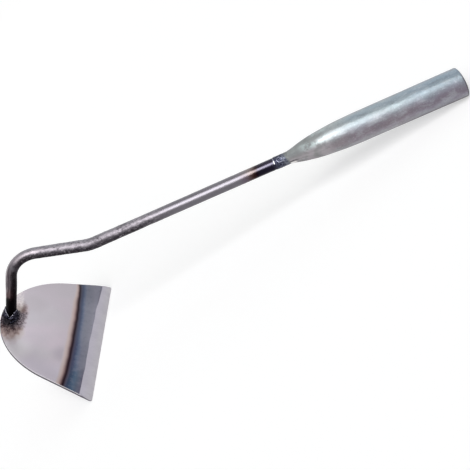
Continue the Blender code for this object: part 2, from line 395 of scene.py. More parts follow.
# %% Blade finish
blade_steel = Finish("ground_blade_steel", 1.0, 0.36)
plate = blade_steel.place_in(blade_frame)
u, v, w = blade_steel.split(plate)
clouds = blade_steel.noise(plate, 0.035, detail=3, twist=0.6)
fine = blade_steel.noise(blade_steel.stretched(plate, 0.5, 3.0, 1.0), 0.9, detail=5, rough=0.65)
tint = blade_steel.noise(plate, 0.022, detail=1)
face = blade_steel.mix(blade_steel.fade(tint, 0.38, 0.62), tone(180, 174, 180), tone(186, 175, 184))
face = blade_steel.mix(blade_steel.fade(clouds, 0.32, 0.66, 0.45, 0.0), face, tone(173, 167, 174))
face = blade_steel.mix(blade_steel.fade(v, 18, 60, 0.0, 0.75), face, tone(178, 171, 178))
face = blade_steel.mix(blade_steel.fade(v, -40, -60, 0.0, 0.85), face, tone(188, 181, 192))
# Three round patches at given places, darker, lighter and darker than the face round them.
from_patch_centre = blade_steel.add("VectorMath", plate, (56, -36, 0), operation="DISTANCE", out=1)
face = blade_steel.mix(blade_steel.fade(from_patch_centre, 3, 15, 0.8, 0.0), face, tone(164, 157, 166))
from_patch_centre = blade_steel.add("VectorMath", plate, (9, -42, 0), operation="DISTANCE", out=1)
face = blade_steel.mix(blade_steel.fade(from_patch_centre, 8, 24, 0.9, 0.0), face, tone(197, 192, 196))
from_patch_centre = blade_steel.add("VectorMath", plate, (16, 24, 0), operation="DISTANCE", out=1)
face = blade_steel.mix(blade_steel.fade(from_patch_centre, 6, 20, 0.8, 0.0), face, tone(172, 165, 171))
face = blade_steel.mix(blade_steel.fade(fine, 0.25, 0.75, 0.0, 0.12), face, tone(150, 143, 152))

curve = blade_steel.tree.nodes.new("ShaderNodeFloatCurve")
across = blade_steel.tree.nodes.new("ShaderNodeMapRange")
for socket, number in zip(across.inputs, (v, -85.0, 85.0, 0.0, 1.0)):
    blade_steel.feed(socket, number)
blade_steel.feed(curve.inputs["Value"], across.outputs[0])
line = curve.mapping.curves[0]
LINE_LOW, LINE_HIGH = 50.0, 70.0
QUENCHED = ((-85, 61.3), (-54, 62.4), (-20, 61.9), (11, 61.0), (31, 60.4), (58, 58.3), (72, 56.3), (85, 53.9))
for i, (at, depth) in enumerate(QUENCHED):
    spot = ((at + 85) / 170, (depth - LINE_LOW) / (LINE_HIGH - LINE_LOW))
    if i < 2:
        line.points[i].location = spot
    else:
        line.points.new(*spot)
curve.mapping.update()
quench_line = blade_steel.fade(curve.outputs[0], 0.0, 1.0, LINE_LOW, LINE_HIGH)
blade_steel.tree.nodes[-1].interpolation_type = "LINEAR"
waver = blade_steel.fade(blade_steel.noise(plate, 0.035, detail=2), 0.3, 0.7, -0.5, 0.5)
beyond = blade_steel.sum("ADD", blade_steel.sum("SUBTRACT", u, quench_line), waver)
squeezed = blade_steel.sum("MULTIPLY", blade_steel.sum("MINIMUM", beyond, 0.0), blade_steel.fade(v, 36, 70, 0.0, 0.55))
beyond = blade_steel.sum("ADD", beyond, squeezed)
straw = [(-7, (182, 174, 178)), (-6, (182, 169, 171)), (-5, (182, 167, 166)), (-4, (174, 157, 155)), (-3, (154, 137, 136)),
         (-2, (120, 102, 102)), (-1.1, (73, 56, 61))]
tints = blade_steel.ramp(beyond, -8, 18, straw + [
    (-0.2, (34, 22, 30)), (0.4, (40, 30, 40)), (1.1, (60, 56, 70)), (2, (72, 74, 91)), (3, (72, 78, 99)),
    (3.8, (75, 83, 106)), (4.7, (87, 96, 118)), (5.8, (102, 110, 130)), (7.5, (118, 121, 135)), (9.5, (121, 123, 135)),
    (12, (124, 125, 137)), (14, (128, 128, 139)), (16, (134, 133, 145))])
deeper = blade_steel.ramp(beyond, -8, 18, straw + [
    (-0.2, (32, 18, 28)), (0.5, (40, 28, 38)), (1.2, (58, 50, 64)), (2, (70, 67, 84)), (3, (65, 68, 90)),
    (4.2, (63, 69, 93)), (5.2, (70, 79, 104)), (6.2, (84, 94, 117)), (8, (100, 107, 127)), (10, (110, 112, 127)),
    (14, (116, 117, 129)), (16, (121, 121, 132))])
teal = blade_steel.ramp(beyond, -8, 18, straw + [
    (-0.2, (38, 24, 32)), (0.6, (44, 33, 42)), (1.5, (70, 64, 78)), (2.5, (74, 76, 95)), (3.6, (56, 66, 88)),
    (5, (56, 71, 94)), (7, (68, 86, 110)), (9, (80, 97, 118)), (11, (84, 94, 112)), (13, (92, 96, 112)), (15, (93, 91, 107))])
tints = blade_steel.mix(blade_steel.fade(v, -4, -24), tints, deeper)
heated = blade_steel.mix(blade_steel.fade(v, -44, -60), tints, teal)
mottle = blade_steel.noise(plate, 0.2, detail=5, rough=0.6)
patchy = blade_steel.sum("MULTIPLY", blade_steel.fade(mottle, 0.45, 0.66, 0.0, 0.22), blade_steel.fade(beyond, 2.5, 6))
heated = blade_steel.mix(patchy, heated, tone(134, 132, 146))
patchy = blade_steel.sum("MULTIPLY", blade_steel.fade(mottle, 0.48, 0.3, 0.0, 0.22), blade_steel.fade(beyond, 1.5, 5))
heated = blade_steel.mix(patchy, heated, tone(78, 80, 98))
far_blue = blade_steel.sum("MULTIPLY", blade_steel.fade(v, 36, 62), blade_steel.fade(beyond, 0.5, 3))
heated = blade_steel.mix(far_blue, heated, tone(227, 228, 231), "MULTIPLY")
warm = blade_steel.sum("MULTIPLY", blade_steel.near(v, 24, 20), blade_steel.near(beyond, -3.5, 4))
warm = blade_steel.sum("ADD", warm, blade_steel.sum("MULTIPLY", blade_steel.fade(v, -46, -56), blade_steel.near(beyond, -2.5, 3)))
heated = blade_steel.mix(warm, heated, tone(255, 248, 248), "MULTIPLY")
base = blade_steel.mix(blade_steel.fade(beyond, -8.0, -5.5), face, heated)
before_bevel = blade_steel.sum("MULTIPLY", blade_steel.near(u, 78.6, 1.2), blade_steel.fade(v, 42, 56, 0.0, 0.5))
base = blade_steel.mix(before_bevel, base, tone(96, 92, 104))

# %% [markdown]
# Round the weld the arc burnt the plate. Soot and spatter lie on the side towards the viewer, a ring of
# brown and purple goes round, and a clean straw-coloured patch is left on the far side.

# %% Burn round the weld
across = blade_steel.sum("POWER", blade_steel.sum("ABSOLUTE", blade_steel.sum("DIVIDE", u, 14.9)), 3.0)
nearness = blade_steel.sum("ABSOLUTE", blade_steel.sum("ADD", v, 3.0))
along = blade_steel.sum("POWER", blade_steel.sum("DIVIDE", nearness, blade_steel.fade(v, -2, 2, 29, 26)), 3.0)
ring = blade_steel.sum("POWER", blade_steel.sum("ADD", across, along), 1 / 3)
lumps = blade_steel.fade(blade_steel.noise(plate, 0.2, detail=5, rough=0.65), 0.25, 0.75, -0.09, 0.09)
burn = blade_steel.sum("ADD", ring, lumps)
pale = blade_steel.ramp(burn, 0.2, 1.2, (
    (0.3, (66, 64, 70)), (0.45, (86, 80, 87)), (0.55, (116, 108, 114)), (0.66, (142, 132, 138)), (0.74, (144, 134, 140)),
    (0.82, (130, 120, 126)), (0.9, (142, 132, 138)), (0.98, (166, 156, 162)), (1.08, (184, 176, 183))))
dark = blade_steel.ramp(burn, 0.2, 1.2, (
    (0.3, (18, 15, 20)), (0.45, (44, 38, 44)), (0.55, (72, 62, 68)), (0.66, (104, 93, 99)), (0.74, (100, 89, 95)),
    (0.82, (82, 71, 77)), (0.9, (106, 95, 101)), (0.98, (146, 135, 141)), (1.08, (178, 169, 176))))
radial = blade_steel.add("VectorMath", blade_steel.stretched(plate, 1, 1, 0), operation="NORMALIZE")
radial = blade_steel.add("VectorMath", radial, (5.5, 5.5, 5.5), operation="MULTIPLY")
outward = blade_steel.stretched(plate, 0.13, 0.13, 0)
streaks = blade_steel.noise(blade_steel.add("VectorMath", radial, outward, operation="ADD"), 1.0)
soot = blade_steel.noise(plate, 0.42, detail=4, rough=0.65)
soot = blade_steel.mix(blade_steel.fade(v, -6, -16, 0.1, 0.5), soot, streaks)
burnt = blade_steel.mix(blade_steel.fade(soot, 0.44, 0.56), dark, pale)
pale_below = blade_steel.ramp(burn, 0.2, 1.3, (
    (0.3, (70, 66, 70)), (0.45, (106, 98, 102)), (0.6, (136, 126, 128)), (0.75, (156, 146, 147)), (0.9, (172, 163, 165)),
    (1.05, (184, 177, 180)), (1.25, (190, 184, 188))))
dark_below = blade_steel.ramp(burn, 0.2, 1.3, (
    (0.3, (14, 10, 14)), (0.45, (52, 44, 49)), (0.6, (86, 74, 78)), (0.75, (114, 101, 104)), (0.9, (154, 143, 145)),
    (1.05, (180, 172, 175)), (1.25, (188, 182, 186))))
below = blade_steel.mix(blade_steel.fade(soot, 0.42, 0.58), dark_below, pale_below)
burnt = blade_steel.mix(blade_steel.fade(v, -11, -18), burnt, below)
browned = blade_steel.sum("MULTIPLY", blade_steel.fade(v, -8, -20, 0.0, 0.85), blade_steel.fade(burn, 1.08, 0.86, 0.3, 1.0))
burnt = blade_steel.mix(browned, burnt, tone(255, 240, 232), "MULTIPLY")
bow = blade_steel.sum("MULTIPLY", blade_steel.sum("MULTIPLY", v, v), 0.003)
ragged = blade_steel.fade(soot, 0.35, 0.65, -0.7, 0.7)
sideways = blade_steel.sum("ADD", blade_steel.sum("ADD", u, bow), ragged)
brown = blade_steel.ramp(sideways, -9, 20, (
    (-8.5, (166, 156, 155)), (0, (168, 158, 156)), (5, (172, 161, 157)), (7.6, (160, 147, 144)), (9.2, (120, 102, 101)),
    (10.6, (116, 98, 98)), (12.4, (146, 130, 133)), (14.3, (172, 160, 165)), (17, (184, 176, 183))))
faint = blade_steel.ramp(sideways, -9, 20, (
    (-8.5, (168, 158, 162)), (0, (170, 160, 161)), (6, (187, 175, 176)), (8.6, (158, 147, 149)),
    (10.6, (148, 136, 138)), (12.6, (168, 156, 161)), (14.6, (184, 173, 180)), (17, (185, 177, 184))))
beside = blade_steel.mix(blade_steel.fade(v, 12, 22), brown, faint)
smudged = blade_steel.sum("MULTIPLY", blade_steel.fade(soot, 0.5, 0.36, 0.0, 0.45), blade_steel.fade(v, 24, 14))
beside = blade_steel.mix(smudged, beside, tone(110, 100, 104))
far_side = blade_steel.sum("ADD", v, blade_steel.fade(soot, 0.3, 0.7, -2.0, 2.0))
burnt = blade_steel.mix(blade_steel.fade(far_side, 5, 10), burnt, beside)
specks = blade_steel.fade(blade_steel.cells(plate, 0.9), 0.34, 0.2)
speckled = blade_steel.sum("MULTIPLY", specks, blade_steel.fade(burn, 1.0, 0.75, 0.0, 0.6))
speckled = blade_steel.sum("MULTIPLY", speckled, blade_steel.near(v, -6, 16))
burnt = blade_steel.mix(speckled, burnt, tone(44, 38, 44))
halo = blade_steel.sum("MULTIPLY", blade_steel.near(burn, 1.16, 0.16), blade_steel.fade(v, -10, -16, 0.0, 0.6))
base = blade_steel.mix(halo, base, tone(190, 177, 187))
outer = blade_steel.fade(v, -10, -20, 1.17, 1.30)
base = blade_steel.mix(blade_steel.fade(burn, outer, blade_steel.sum("SUBTRACT", outer, 0.24)), base, burnt)
clean = blade_steel.sum("MULTIPLY", blade_steel.fade(sideways, 9.8, 7.8), blade_steel.fade(v, 12, 20, 0.0, 0.75))
clean = blade_steel.sum("MULTIPLY", clean, blade_steel.fade(soot, 0.44, 0.54, 0.1, 1.0))
base = blade_steel.mix(clean, base, tone(203, 195, 195))
rough = blade_steel.fade(burn, 0.5, 1.1, 0.62, 0.36)
grain = blade_steel.sum("ADD", rough, blade_steel.fade(fine, 0.2, 0.8, -0.05, 0.06))
blade_steel.paint(colour=base, roughness=grain)
blade_steel.bump(fine, 0.00004, 0.5)
print("blade finish has", len(blade_steel.tree.nodes), "nodes")

# %% [markdown]
# The bevel was ground after the heat, so it is bright again and ends the blue in one sharp line. The wheel
# ran across the edge, which leaves fine lines at right angles to it. The sawn rim of the plate is dark,
# and its rounded upper edge has a painted highlight near the viewer. Each kind of face gets its own finish.

# %% Bevel finish, and which faces wear it
bevel_steel = Finish("fresh_ground_bevel", 1.0, 0.34)
plate = bevel_steel.place_in(blade_frame)
strokes = bevel_steel.noise(bevel_steel.stretched(plate, 0.12, 2.2, 1.0), 1.0, detail=6, rough=0.7)
clouds = bevel_steel.noise(plate, 0.08, detail=3)
u, v, w = bevel_steel.split(plate)
bright = bevel_steel.mix(bevel_steel.fade(u, bevel_x * 1000, edge_x * 1000), tone(180, 176, 188), tone(183, 180, 185))
bright = bevel_steel.mix(bevel_steel.fade(clouds, 0.35, 0.68, 0.35, 0.0), bright, tone(164, 160, 170))
bright = bevel_steel.mix(bevel_steel.fade(strokes, 0.35, 0.75, 0.0, 0.22), bright, tone(146, 141, 151))
bevel_steel.paint(colour=bright, roughness=bevel_steel.fade(strokes, 0.2, 0.8, 0.28, 0.42))
bevel_steel.bump(strokes, 0.00005, 0.6)

rim_steel = Finish("sawn_rim", 1.0, 0.4)
plate = rim_steel.place_in(blade_frame)
u, v, w = rim_steel.split(plate)
saw_marks = rim_steel.noise(rim_steel.stretched(plate, 1.0, 1.0, 4.0), 0.8, detail=4)
# Painted highlight: the rounded upper edge of the rim is painted bright near the viewer.
edge_painted_highlight = rim_steel.mix(rim_steel.fade(v, -30, -46), tone(146, 141, 150), tone(236, 234, 236))
blue_end = rim_steel.sum("MULTIPLY", rim_steel.near(u, 65, 5), rim_steel.fade(v, -10, 10))
edge_painted_highlight = rim_steel.mix(blue_end, edge_painted_highlight, tone(70, 66, 78))
sides = rim_steel.mix(rim_steel.fade(saw_marks, 0.3, 0.7), tone(84, 79, 88), tone(112, 107, 115))
rim_steel.paint(colour=rim_steel.mix(rim_steel.fade(w, -0.42, -0.2), sides, edge_painted_highlight), roughness=0.36)
rim_steel.bump(saw_marks, 0.00005, 0.6)
for finish in (blade_steel, bevel_steel, rim_steel):
    blade.data.materials.append(finish.material)
for polygon in blade.data.polygons:
    normal, middle = polygon.normal, polygon.center
    if 0.05 < normal.x < 0.9 and normal.z > 0.3 and middle.x > bevel_x or middle.x > edge_x - 0.0004:
        polygon.material_index = 1
    elif abs(normal.z) < 0.3:
        polygon.material_index = 2
apply_all(blade)
set_down(blade, blade_frame, 30)
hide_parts("blade")

# %% [markdown]
# The neck is one round bar, bent twice. By hand it is a ring of points that is pulled straight up from the
# blade, spun round the centre of the elbow, pulled on, spun back and pulled straight into the socket. The
# long straights are then cut into short steps, so that the surface can be roughened in real geometry.

# %% Bent bar
BAR_RADIUS, DROP, ELBOW, DIP, SWEEP, SHAFT, INSERTION = 0.005, 0.046, 0.030, 0.044, 0.045, 0.188, 0.026
UP, DOWN = math.radians(55.2), math.radians(16.7)


def heading(angle):
    return Vector((math.cos(angle), 0, math.sin(angle)))


foot = -3 * BAR_RADIUS
skin_radius = BAR_RADIUS + 0.0002
start_clean()
ops.mesh.primitive_circle_add(
    vertices=72, radius=skin_radius, fill_type="NOTHING",
    location=heading(UP) * foot, rotation=(0, math.pi / 2 - UP, 0))
bar = newly_added("bent_bar")
edit(bar)
ops.mesh.select_all(action="SELECT")
pull(heading(UP) * (DROP - foot))
spot = heading(UP) * DROP
centre = spot + heading(UP - math.pi / 2) * ELBOW
ops.mesh.spin(steps=38, angle=-(UP + DOWN), center=centre, axis=(0, 1, 0))
spot = centre + heading(math.pi / 2 - DOWN) * ELBOW
pull(heading(-DOWN) * DIP)
spot = spot + heading(-DOWN) * DIP
centre = spot + heading(math.pi / 2 - DOWN) * SWEEP
ops.mesh.spin(steps=13, angle=DOWN, center=centre, axis=(0, 1, 0))
spot = centre + Vector((0, 0, -SWEEP))
tip = spot + Vector((SHAFT, 0, 0))
pull((SHAFT + INSERTION, 0, 0))
ends = [v.co.copy() for v in bmesh.from_edit_mesh(bar.data).verts if v.select]
print("bar ends at", [round(sum(p[i] for p in ends) / len(ends) * 1000, 2) for i in range(3)], "mm")

# %% Cut the straights into steps, and saw the foot off along the blade
for length, steps in ((DROP - foot, 60), (DIP, 44), (SHAFT + INSERTION, 200)):
    pick_edges(bar, lambda a, b: abs((a - b).length - length) < 1e-5)
    ops.mesh.subdivide(number_cuts=steps)
blade_normal = Vector((math.sin(BLADE_SLOPE), 0, math.cos(BLADE_SLOPE)))
ops.mesh.select_all(action="SELECT")
ops.mesh.bisect(plane_co=blade_normal * 0.0002, plane_no=blade_normal, use_fill=True, clear_inner=True)
pick(bar, lambda p: p.x > tip.x + INSERTION - 1e-6)
ops.mesh.edge_face_add()
ops.mesh.select_all(action="SELECT")
ops.mesh.normals_make_consistent(inside=False)
ops.object.mode_set(mode="OBJECT")
print("bar has", len(bar.data.polygons), "faces")

# %% [markdown]
# Each point of the bar is told how far it lies from the foot, along the bar, and on which side it lies: 1
# on the upper side, -1 on the lower one. The finish needs both, because heat and handling changed the bar
# along its length, and its colour is painted darker on the lower side and lighter on the upper one, as
# painted shade and light.

# %% Distance along the bar, and the side
route = [Vector((0, 0, 0)), heading(UP) * DROP]
elbow_centre = route[-1] + heading(UP - math.pi / 2) * ELBOW
for i in range(1, 25):
    turn = UP + math.pi / 2 - (UP + DOWN) * i / 24
    route.append(elbow_centre + heading(turn) * ELBOW)
route.append(route[-1] + heading(-DOWN) * DIP)
sweep_centre = route[-1] + heading(math.pi / 2 - DOWN) * SWEEP
for i in range(1, 13):
    route.append(sweep_centre + heading(-math.pi / 2 - DOWN + DOWN * i / 12) * SWEEP)
route.append(tip + Vector((INSERTION, 0, 0)))
OPEN_SIDE = Vector((0.35, -0.83, 0.42))


def along_route(point):
    """How far along the route its nearest point lies, in millimetres, the side of the point, and the way out."""
    best, run, nearest, side, way = 0.0, 0.0, 1.0, 0.0, Vector()
    for a, b in zip(route, route[1:]):
        step = b - a
        share = max(0.0, min(1.0, (point - a).dot(step) / step.length_squared))
        out = point - a - step * share
        if out.length < nearest - 1e-9:
            nearest, best = out.length, run + share * step.length
            way = out.normalized()
            side = way.dot(OPEN_SIDE.cross(step).normalized())
        run += step.length
    return best * 1000, side, way


def mark_distance(piece):
    marks = [piece.data.attributes.new(name, "FLOAT", "POINT") for name in ("from_foot", "upper_side")]
    for point in piece.data.vertices:
        for mark, value in zip(marks, along_route(point.co)):
            mark.data[point.index].value = value


mark_distance(bar)
TIP_RUN = along_route(tip)[0]
print("the socket starts", round(TIP_RUN, 1), "mm along the bar")

# %% [markdown]
# The bar was forged and bent hot, so its skin is not smooth: shallow lumps and pits, strongest round the
# second bend. Two Displace modifiers with a noise texture move the real surface by a tenth of a
# millimetre, and a vertex group keeps the smooth part of the shaft smooth.

# %% Forged skin


def roughen(piece, name, size, depth, group=None, kind="CLOUDS", detail=3):
    lumps = bpy.data.textures.new(name, kind)
    lumps.noise_scale = size
    if kind == "CLOUDS":
        lumps.noise_depth = detail
    move = piece.modifiers.new(name, "DISPLACE")
    move.texture = lumps
    move.texture_coords = "LOCAL"
    move.strength = depth
    move.mid_level = 0.5
    if group:
        move.vertex_group = group


def ease(value, low, high):
    """0 below the low number, 1 above the high one, and a soft step between."""
    share = max(0.0, min(1.0, (value - low) / (high - low)))
    return share * share * (3 - 2 * share)


SKY_WAY = Vector((-math.sin(LEAN), 0, math.cos(LEAN)))
for point in bar.data.vertices:
    run, side, way = along_route(point.co)
    swelling = 0.00010 + 0.00024 * math.exp(-(((run - 140) / 34) ** 2))
    swelling -= 0.00042 * math.exp(-(((run - 68) / 18) ** 2)) * max(0.0, way.dot(SKY_WAY)) ** 2
    swelling *= ease(run, 26, 44) * (1 - ease(run, TIP_RUN - 15, TIP_RUN - 12.5))
    swelling -= 0.0004 * math.exp(-(((run - 50) / 16) ** 2)) * max(0.0, -side) ** 2
    point.co += way * (swelling - 0.0003 * (1 - ease(run, 18, 40)))
forged = bar.vertex_groups.new(name="forged")
for point in bar.data.vertices:
    run = bar.data.attributes["from_foot"].data[point.index].value
    weight = 0.14 + 0.86 * math.exp(-(((run - 146) / 56) ** 2))
    forged.add([point.index], weight if run < TIP_RUN - 14 else 0.05, "REPLACE")
roughen(bar, "hammer_marks", 0.009, 0.0005, "forged")
roughen(bar, "scale_pits", 0.0017, 0.00036, "forged", detail=1)
apply_all(bar)

# %% [markdown]
# The skin of the bar is mill scale, a dark purple grey. Going up from the foot it is burnt black, then a
# mottled grey, and smoother along the shaft. Along its length its colour is painted darker on the lower side
# and lighter on the upper side, with painted highlights along the top and on the bends. Just before the socket
# the welding heat left straw, brown and then blue black, with a painted highlight stripe on top.

# %% Bar finish
scale = Finish("forge_scale_steel", 1.0, 0.4)
here = scale.place_in(tool_frame)
run = scale.add("Attribute", attribute_name="from_foot", out=2)
side = scale.add("Attribute", attribute_name="upper_side", out=2)
patches = scale.noise(here, 0.16, detail=5, rough=0.62)
flecks = scale.noise(scale.stretched(here, 0.6, 1.0, 1.0), 0.62, detail=6, rough=0.7)
pits = scale.cells(here, 1.1)
ragged_side = scale.sum("ADD", side, scale.fade(patches, 0.3, 0.7, -0.16, 0.16))
# Painted light and shade: the colour is painted darker on the lower side and lighter on the upper side; the noise and
# flecks mixed in after it are the scale's own mottling.
mottle_and_painted_light = scale.ramp(ragged_side, -1, 1, (
    (-0.9, (46, 43, 47)), (-0.6, (56, 52, 57)), (-0.4, (72, 68, 74)), (-0.2, (98, 94, 100)), (0.0, (124, 119, 125)),
    (0.2, (135, 130, 136)), (0.5, (130, 126, 132)), (0.75, (127, 124, 130)), (0.95, (130, 127, 133))))
mottle_and_painted_light = scale.mix(scale.fade(scale.noise(here, 0.045, detail=1), 0.5, 0.38, 0.0, 0.4), mottle_and_painted_light, tone(84, 80, 86))
mottle_and_painted_light = scale.mix(scale.fade(flecks, 0.52, 0.66, 0.0, 0.7), mottle_and_painted_light, tone(168, 161, 168))
mottle_and_painted_light = scale.mix(scale.fade(flecks, 0.47, 0.34, 0.0, 0.75), mottle_and_painted_light, tone(42, 38, 44))
shaft_skin = scale.mix(scale.fade(patches, 0.3, 0.7), tone(104, 101, 107), tone(110, 107, 113))
# Painted highlight: a lighter stripe along the upper side of the shaft.
shaft_skin = scale.mix(scale.near(side, 0.12, 0.4), shaft_skin, tone(128, 125, 131))
shaft_skin = scale.mix(scale.fade(flecks, 0.55, 0.75, 0.0, 0.25), shaft_skin, tone(140, 135, 144))
# Painted shade: the lower side of the bends is painted darker.
bend_underside_painted_shade = scale.sum("MULTIPLY", scale.fade(run, 125, 75), scale.fade(side, 0.05, -0.35, 0.0, 0.6))
mottle_and_painted_light = scale.mix(bend_underside_painted_shade, mottle_and_painted_light, tone(46, 42, 46))
# Painted light and shade on the elbow: dark on the lower side, light towards the upper edge.
elbow_skin = scale.ramp(ragged_side, -1, 1, (
    (-0.9, (38, 34, 38)), (-0.4, (44, 40, 44)), (-0.1, (60, 55, 60)), (0.2, (82, 77, 82)), (0.5, (110, 104, 110)),
    (0.75, (138, 132, 138)), (0.95, (156, 150, 156))))
elbow_skin = scale.mix(scale.fade(flecks, 0.53, 0.68, 0.0, 0.6), elbow_skin, tone(158, 150, 157))
elbow_skin = scale.mix(scale.fade(flecks, 0.46, 0.34, 0.0, 0.6), elbow_skin, tone(36, 32, 37))
mottle_and_painted_light = scale.mix(scale.fade(run, 84, 60), mottle_and_painted_light, elbow_skin)
# Painted highlight on the upper side of the elbow.
elbow_painted_highlight = scale.sum("MULTIPLY", scale.fade(run, 58, 68), scale.fade(run, 96, 84, 0.0, 0.32))
mottle_and_painted_light = scale.mix(scale.sum("MULTIPLY", elbow_painted_highlight, scale.near(ragged_side, 0.24, 0.5)), mottle_and_painted_light, tone(206, 196, 202))
# Painted shade on the lower side of the bar, about 150 mm from the foot.
underside_painted_shade = scale.sum("MULTIPLY", scale.near(run, 150, 20), scale.fade(side, 0.5, -0.2, 0.0, 0.45))
mottle_and_painted_light = scale.mix(underside_painted_shade, mottle_and_painted_light, tone(58, 54, 59))
worked = scale.sum("MULTIPLY", scale.fade(run, 45, 70), scale.fade(run, 225, 180))
skin = scale.mix(worked, shaft_skin, mottle_and_painted_light)
uneven = scale.sum("ADD", run, scale.fade(patches, 0.3, 0.7, -4.0, 4.0))
scratched = scale.noise(scale.add("CombineXYZ", side, scale.sum("MULTIPLY", run, 0.03), 0.0), 3.0, detail=3)
streaked = scale.sum("ADD", side, scale.fade(scratched, 0.3, 0.7, -0.15, 0.15))
# Painted light and shade on the stem: dark on the lower side and lighter towards the upper edge, with scratches along
# it.
stem = scale.ramp(streaked, -1, 1, (
    (-0.9, (26, 22, 25)), (-0.65, (20, 17, 19)), (-0.45, (26, 22, 25)), (-0.25, (42, 37, 40)), (-0.05, (56, 51, 54)),
    (0.15, (90, 82, 87)), (0.33, (78, 69, 74)), (0.5, (60, 50, 56)), (0.7, (124, 116, 121)), (0.9, (188, 182, 184))))
stem = scale.mix(scale.fade(flecks, 0.56, 0.7, 0.0, 0.4), stem, tone(120, 112, 118))
skin = scale.mix(scale.fade(uneven, 66, 46), skin, stem)
# Near the foot the soot is painted by side too: nearly black below and paler towards the upper edge, as painted shade
# and light.
soot_and_painted_light = scale.ramp(streaked, -1, 1, (
    (-0.9, (14, 10, 12)), (-0.3, (28, 18, 20)), (0.0, (58, 44, 46)), (0.2, (108, 92, 94)), (0.35, (92, 73, 75)),
    (0.55, (78, 59, 62)), (0.75, (132, 117, 119)), (0.92, (186, 175, 174))))
skin = scale.mix(scale.fade(uneven, 36, 28), skin, soot_and_painted_light)
skin = scale.mix(scale.fade(uneven, 25, 18), skin, tone(8, 6, 8))

# %% Heat colours before the socket
to_socket = scale.sum("SUBTRACT", scale.sum("ADD", run, scale.fade(patches, 0.3, 0.7, -0.9, 0.9)), TIP_RUN)
# Painted light and shade on the heat colours: one ramp for the upper side, a darker one for the lower side, and the
# middle one as a painted highlight stripe along the top.
upper = scale.ramp(to_socket, -48, 2, (
    (-46, (112, 107, 113)), (-42, (115, 110, 114)), (-39, (118, 112, 114)), (-36, (122, 112, 111)), (-33, (96, 84, 84)),
    (-30, (55, 44, 45)), (-27, (48, 44, 54)), (-15, (54, 50, 62)), (-11, (80, 82, 96)), (-6, (78, 80, 96)), (0, (120, 122, 128))))
middle = scale.ramp(to_socket, -48, 2, (
    (-46, (124, 119, 128)), (-39, (120, 114, 118)), (-36, (116, 108, 108)), (-33, (108, 99, 98)), (-30, (98, 90, 94)),
    (-27, (98, 95, 105)), (-15, (92, 90, 101)), (-11, (86, 89, 104)), (-6, (96, 100, 116)), (0, (124, 124, 128))))
lower = scale.ramp(to_socket, -48, 2, (
    (-46, (102, 96, 104)), (-42, (99, 89, 100)), (-39, (92, 81, 88)), (-36, (77, 62, 64)), (-33, (52, 33, 30)),
    (-30, (21, 9, 19)), (-27, (26, 23, 34)), (-15, (30, 27, 40)), (-11, (57, 57, 71)), (-6, (70, 73, 88)), (0, (99, 98, 104))))
blued = scale.mix(scale.fade(side, -0.35, 0.3), lower, upper)
blued = scale.mix(scale.near(side, 0.2, 0.3), blued, middle)
skin = scale.mix(scale.fade(to_socket, -47, -43), skin, blued)
# Painted highlight: a small bright mark on top of the bar just before the socket weld.
tick_painted_highlight = scale.sum("MULTIPLY", scale.near(to_socket, -12.6, 0.9), scale.near(side, 0.15, 0.45))
skin = scale.mix(tick_painted_highlight, skin, tone(205, 210, 221))
gloss = scale.mix(worked, (0.35, 0.35, 0.35, 1), (0.5, 0.5, 0.5, 1))
gloss = scale.mix(scale.fade(to_socket, -40, -33), gloss, (0.26, 0.26, 0.26, 1))
gloss = scale.mix(scale.fade(uneven, 40, 24), gloss, (0.55, 0.55, 0.55, 1))
scale.paint(colour=skin, roughness=gloss)
scale.bump(scale.mix(0.5, flecks, pits), 0.00014, 0.7)
bar.data.materials.append(scale.material)
set_down(bar, tool_frame, 45)
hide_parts("neck_rod")

# %% [markdown]
# The socket is a tube of about one inch whose end was drawn down to the bar. By hand it is a ring that is
# pulled out and scaled at one station after another: along the nose and the body, round the rim, and back
# again as the inside wall. The two end rings are then bridged at the tip.

# %% Drawn tube
TUBE_RADIUS, TUBE_WALL, TUBE_LENGTH, NOSE_LENGTH, NOSE_POWER = 0.0128, 0.0015, 0.152, 0.070, 2.5
SLEEVE, TIP_WALL = 0.0053, 0.0006
RIM_ROUND = 0.0005


def tube_radius(at):
    """Outside radius at a distance from the tip."""
    share = min(1.0, at / NOSE_LENGTH)
    hammered = 0.00055 * math.exp(-(((at - 0.004) / 0.008) ** 2))
    return TUBE_RADIUS - (TUBE_RADIUS - SLEEVE - TIP_WALL) * (1 - share) ** NOSE_POWER - hammered


def tube_wall(at):
    return TIP_WALL + (TUBE_WALL - TIP_WALL) * min(1.0, 3 * at / NOSE_LENGTH)


nose = [NOSE_LENGTH * (i / 44) ** 1.25 for i in range(45)]
body = [NOSE_LENGTH + (TUBE_LENGTH - NOSE_LENGTH - RIM_ROUND) * i / 40 for i in range(1, 41)]
stations = [(at, tube_radius(at)) for at in nose + body]
for i in range(1, 6):
    turn = math.pi / 2 * i / 5
    stations.append((TUBE_LENGTH - RIM_ROUND * (1 - math.sin(turn)), TUBE_RADIUS - RIM_ROUND * (1 - math.cos(turn))))
stations.append((TUBE_LENGTH, TUBE_RADIUS - TUBE_WALL + 0.0003))
stations += [(at, max(SLEEVE, tube_radius(at) - tube_wall(at))) for at in [TUBE_LENGTH - 0.0004] + (nose + body)[::-1]]

start_clean()
ops.mesh.primitive_circle_add(
    vertices=240, radius=stations[0][1], fill_type="NOTHING", location=(stations[0][0], 0, 0), rotation=(0, math.pi / 2, 0))
tube = newly_added("drawn_tube")
edit(tube)
ops.mesh.select_all(action="SELECT")
for (x0, r0), (x1, r1) in zip(stations, stations[1:]):
    pull((x1 - x0, 0, 0))
    ops.transform.resize(value=(1, r1 / r0, r1 / r0), center_override=(x1, 0, 0))
pick(tube, lambda p: p.x < 1e-7)
ops.mesh.bridge_edge_loops()
ops.mesh.select_all(action="SELECT")
ops.mesh.normals_make_consistent(inside=False)
print("tube rings:", len(stations))

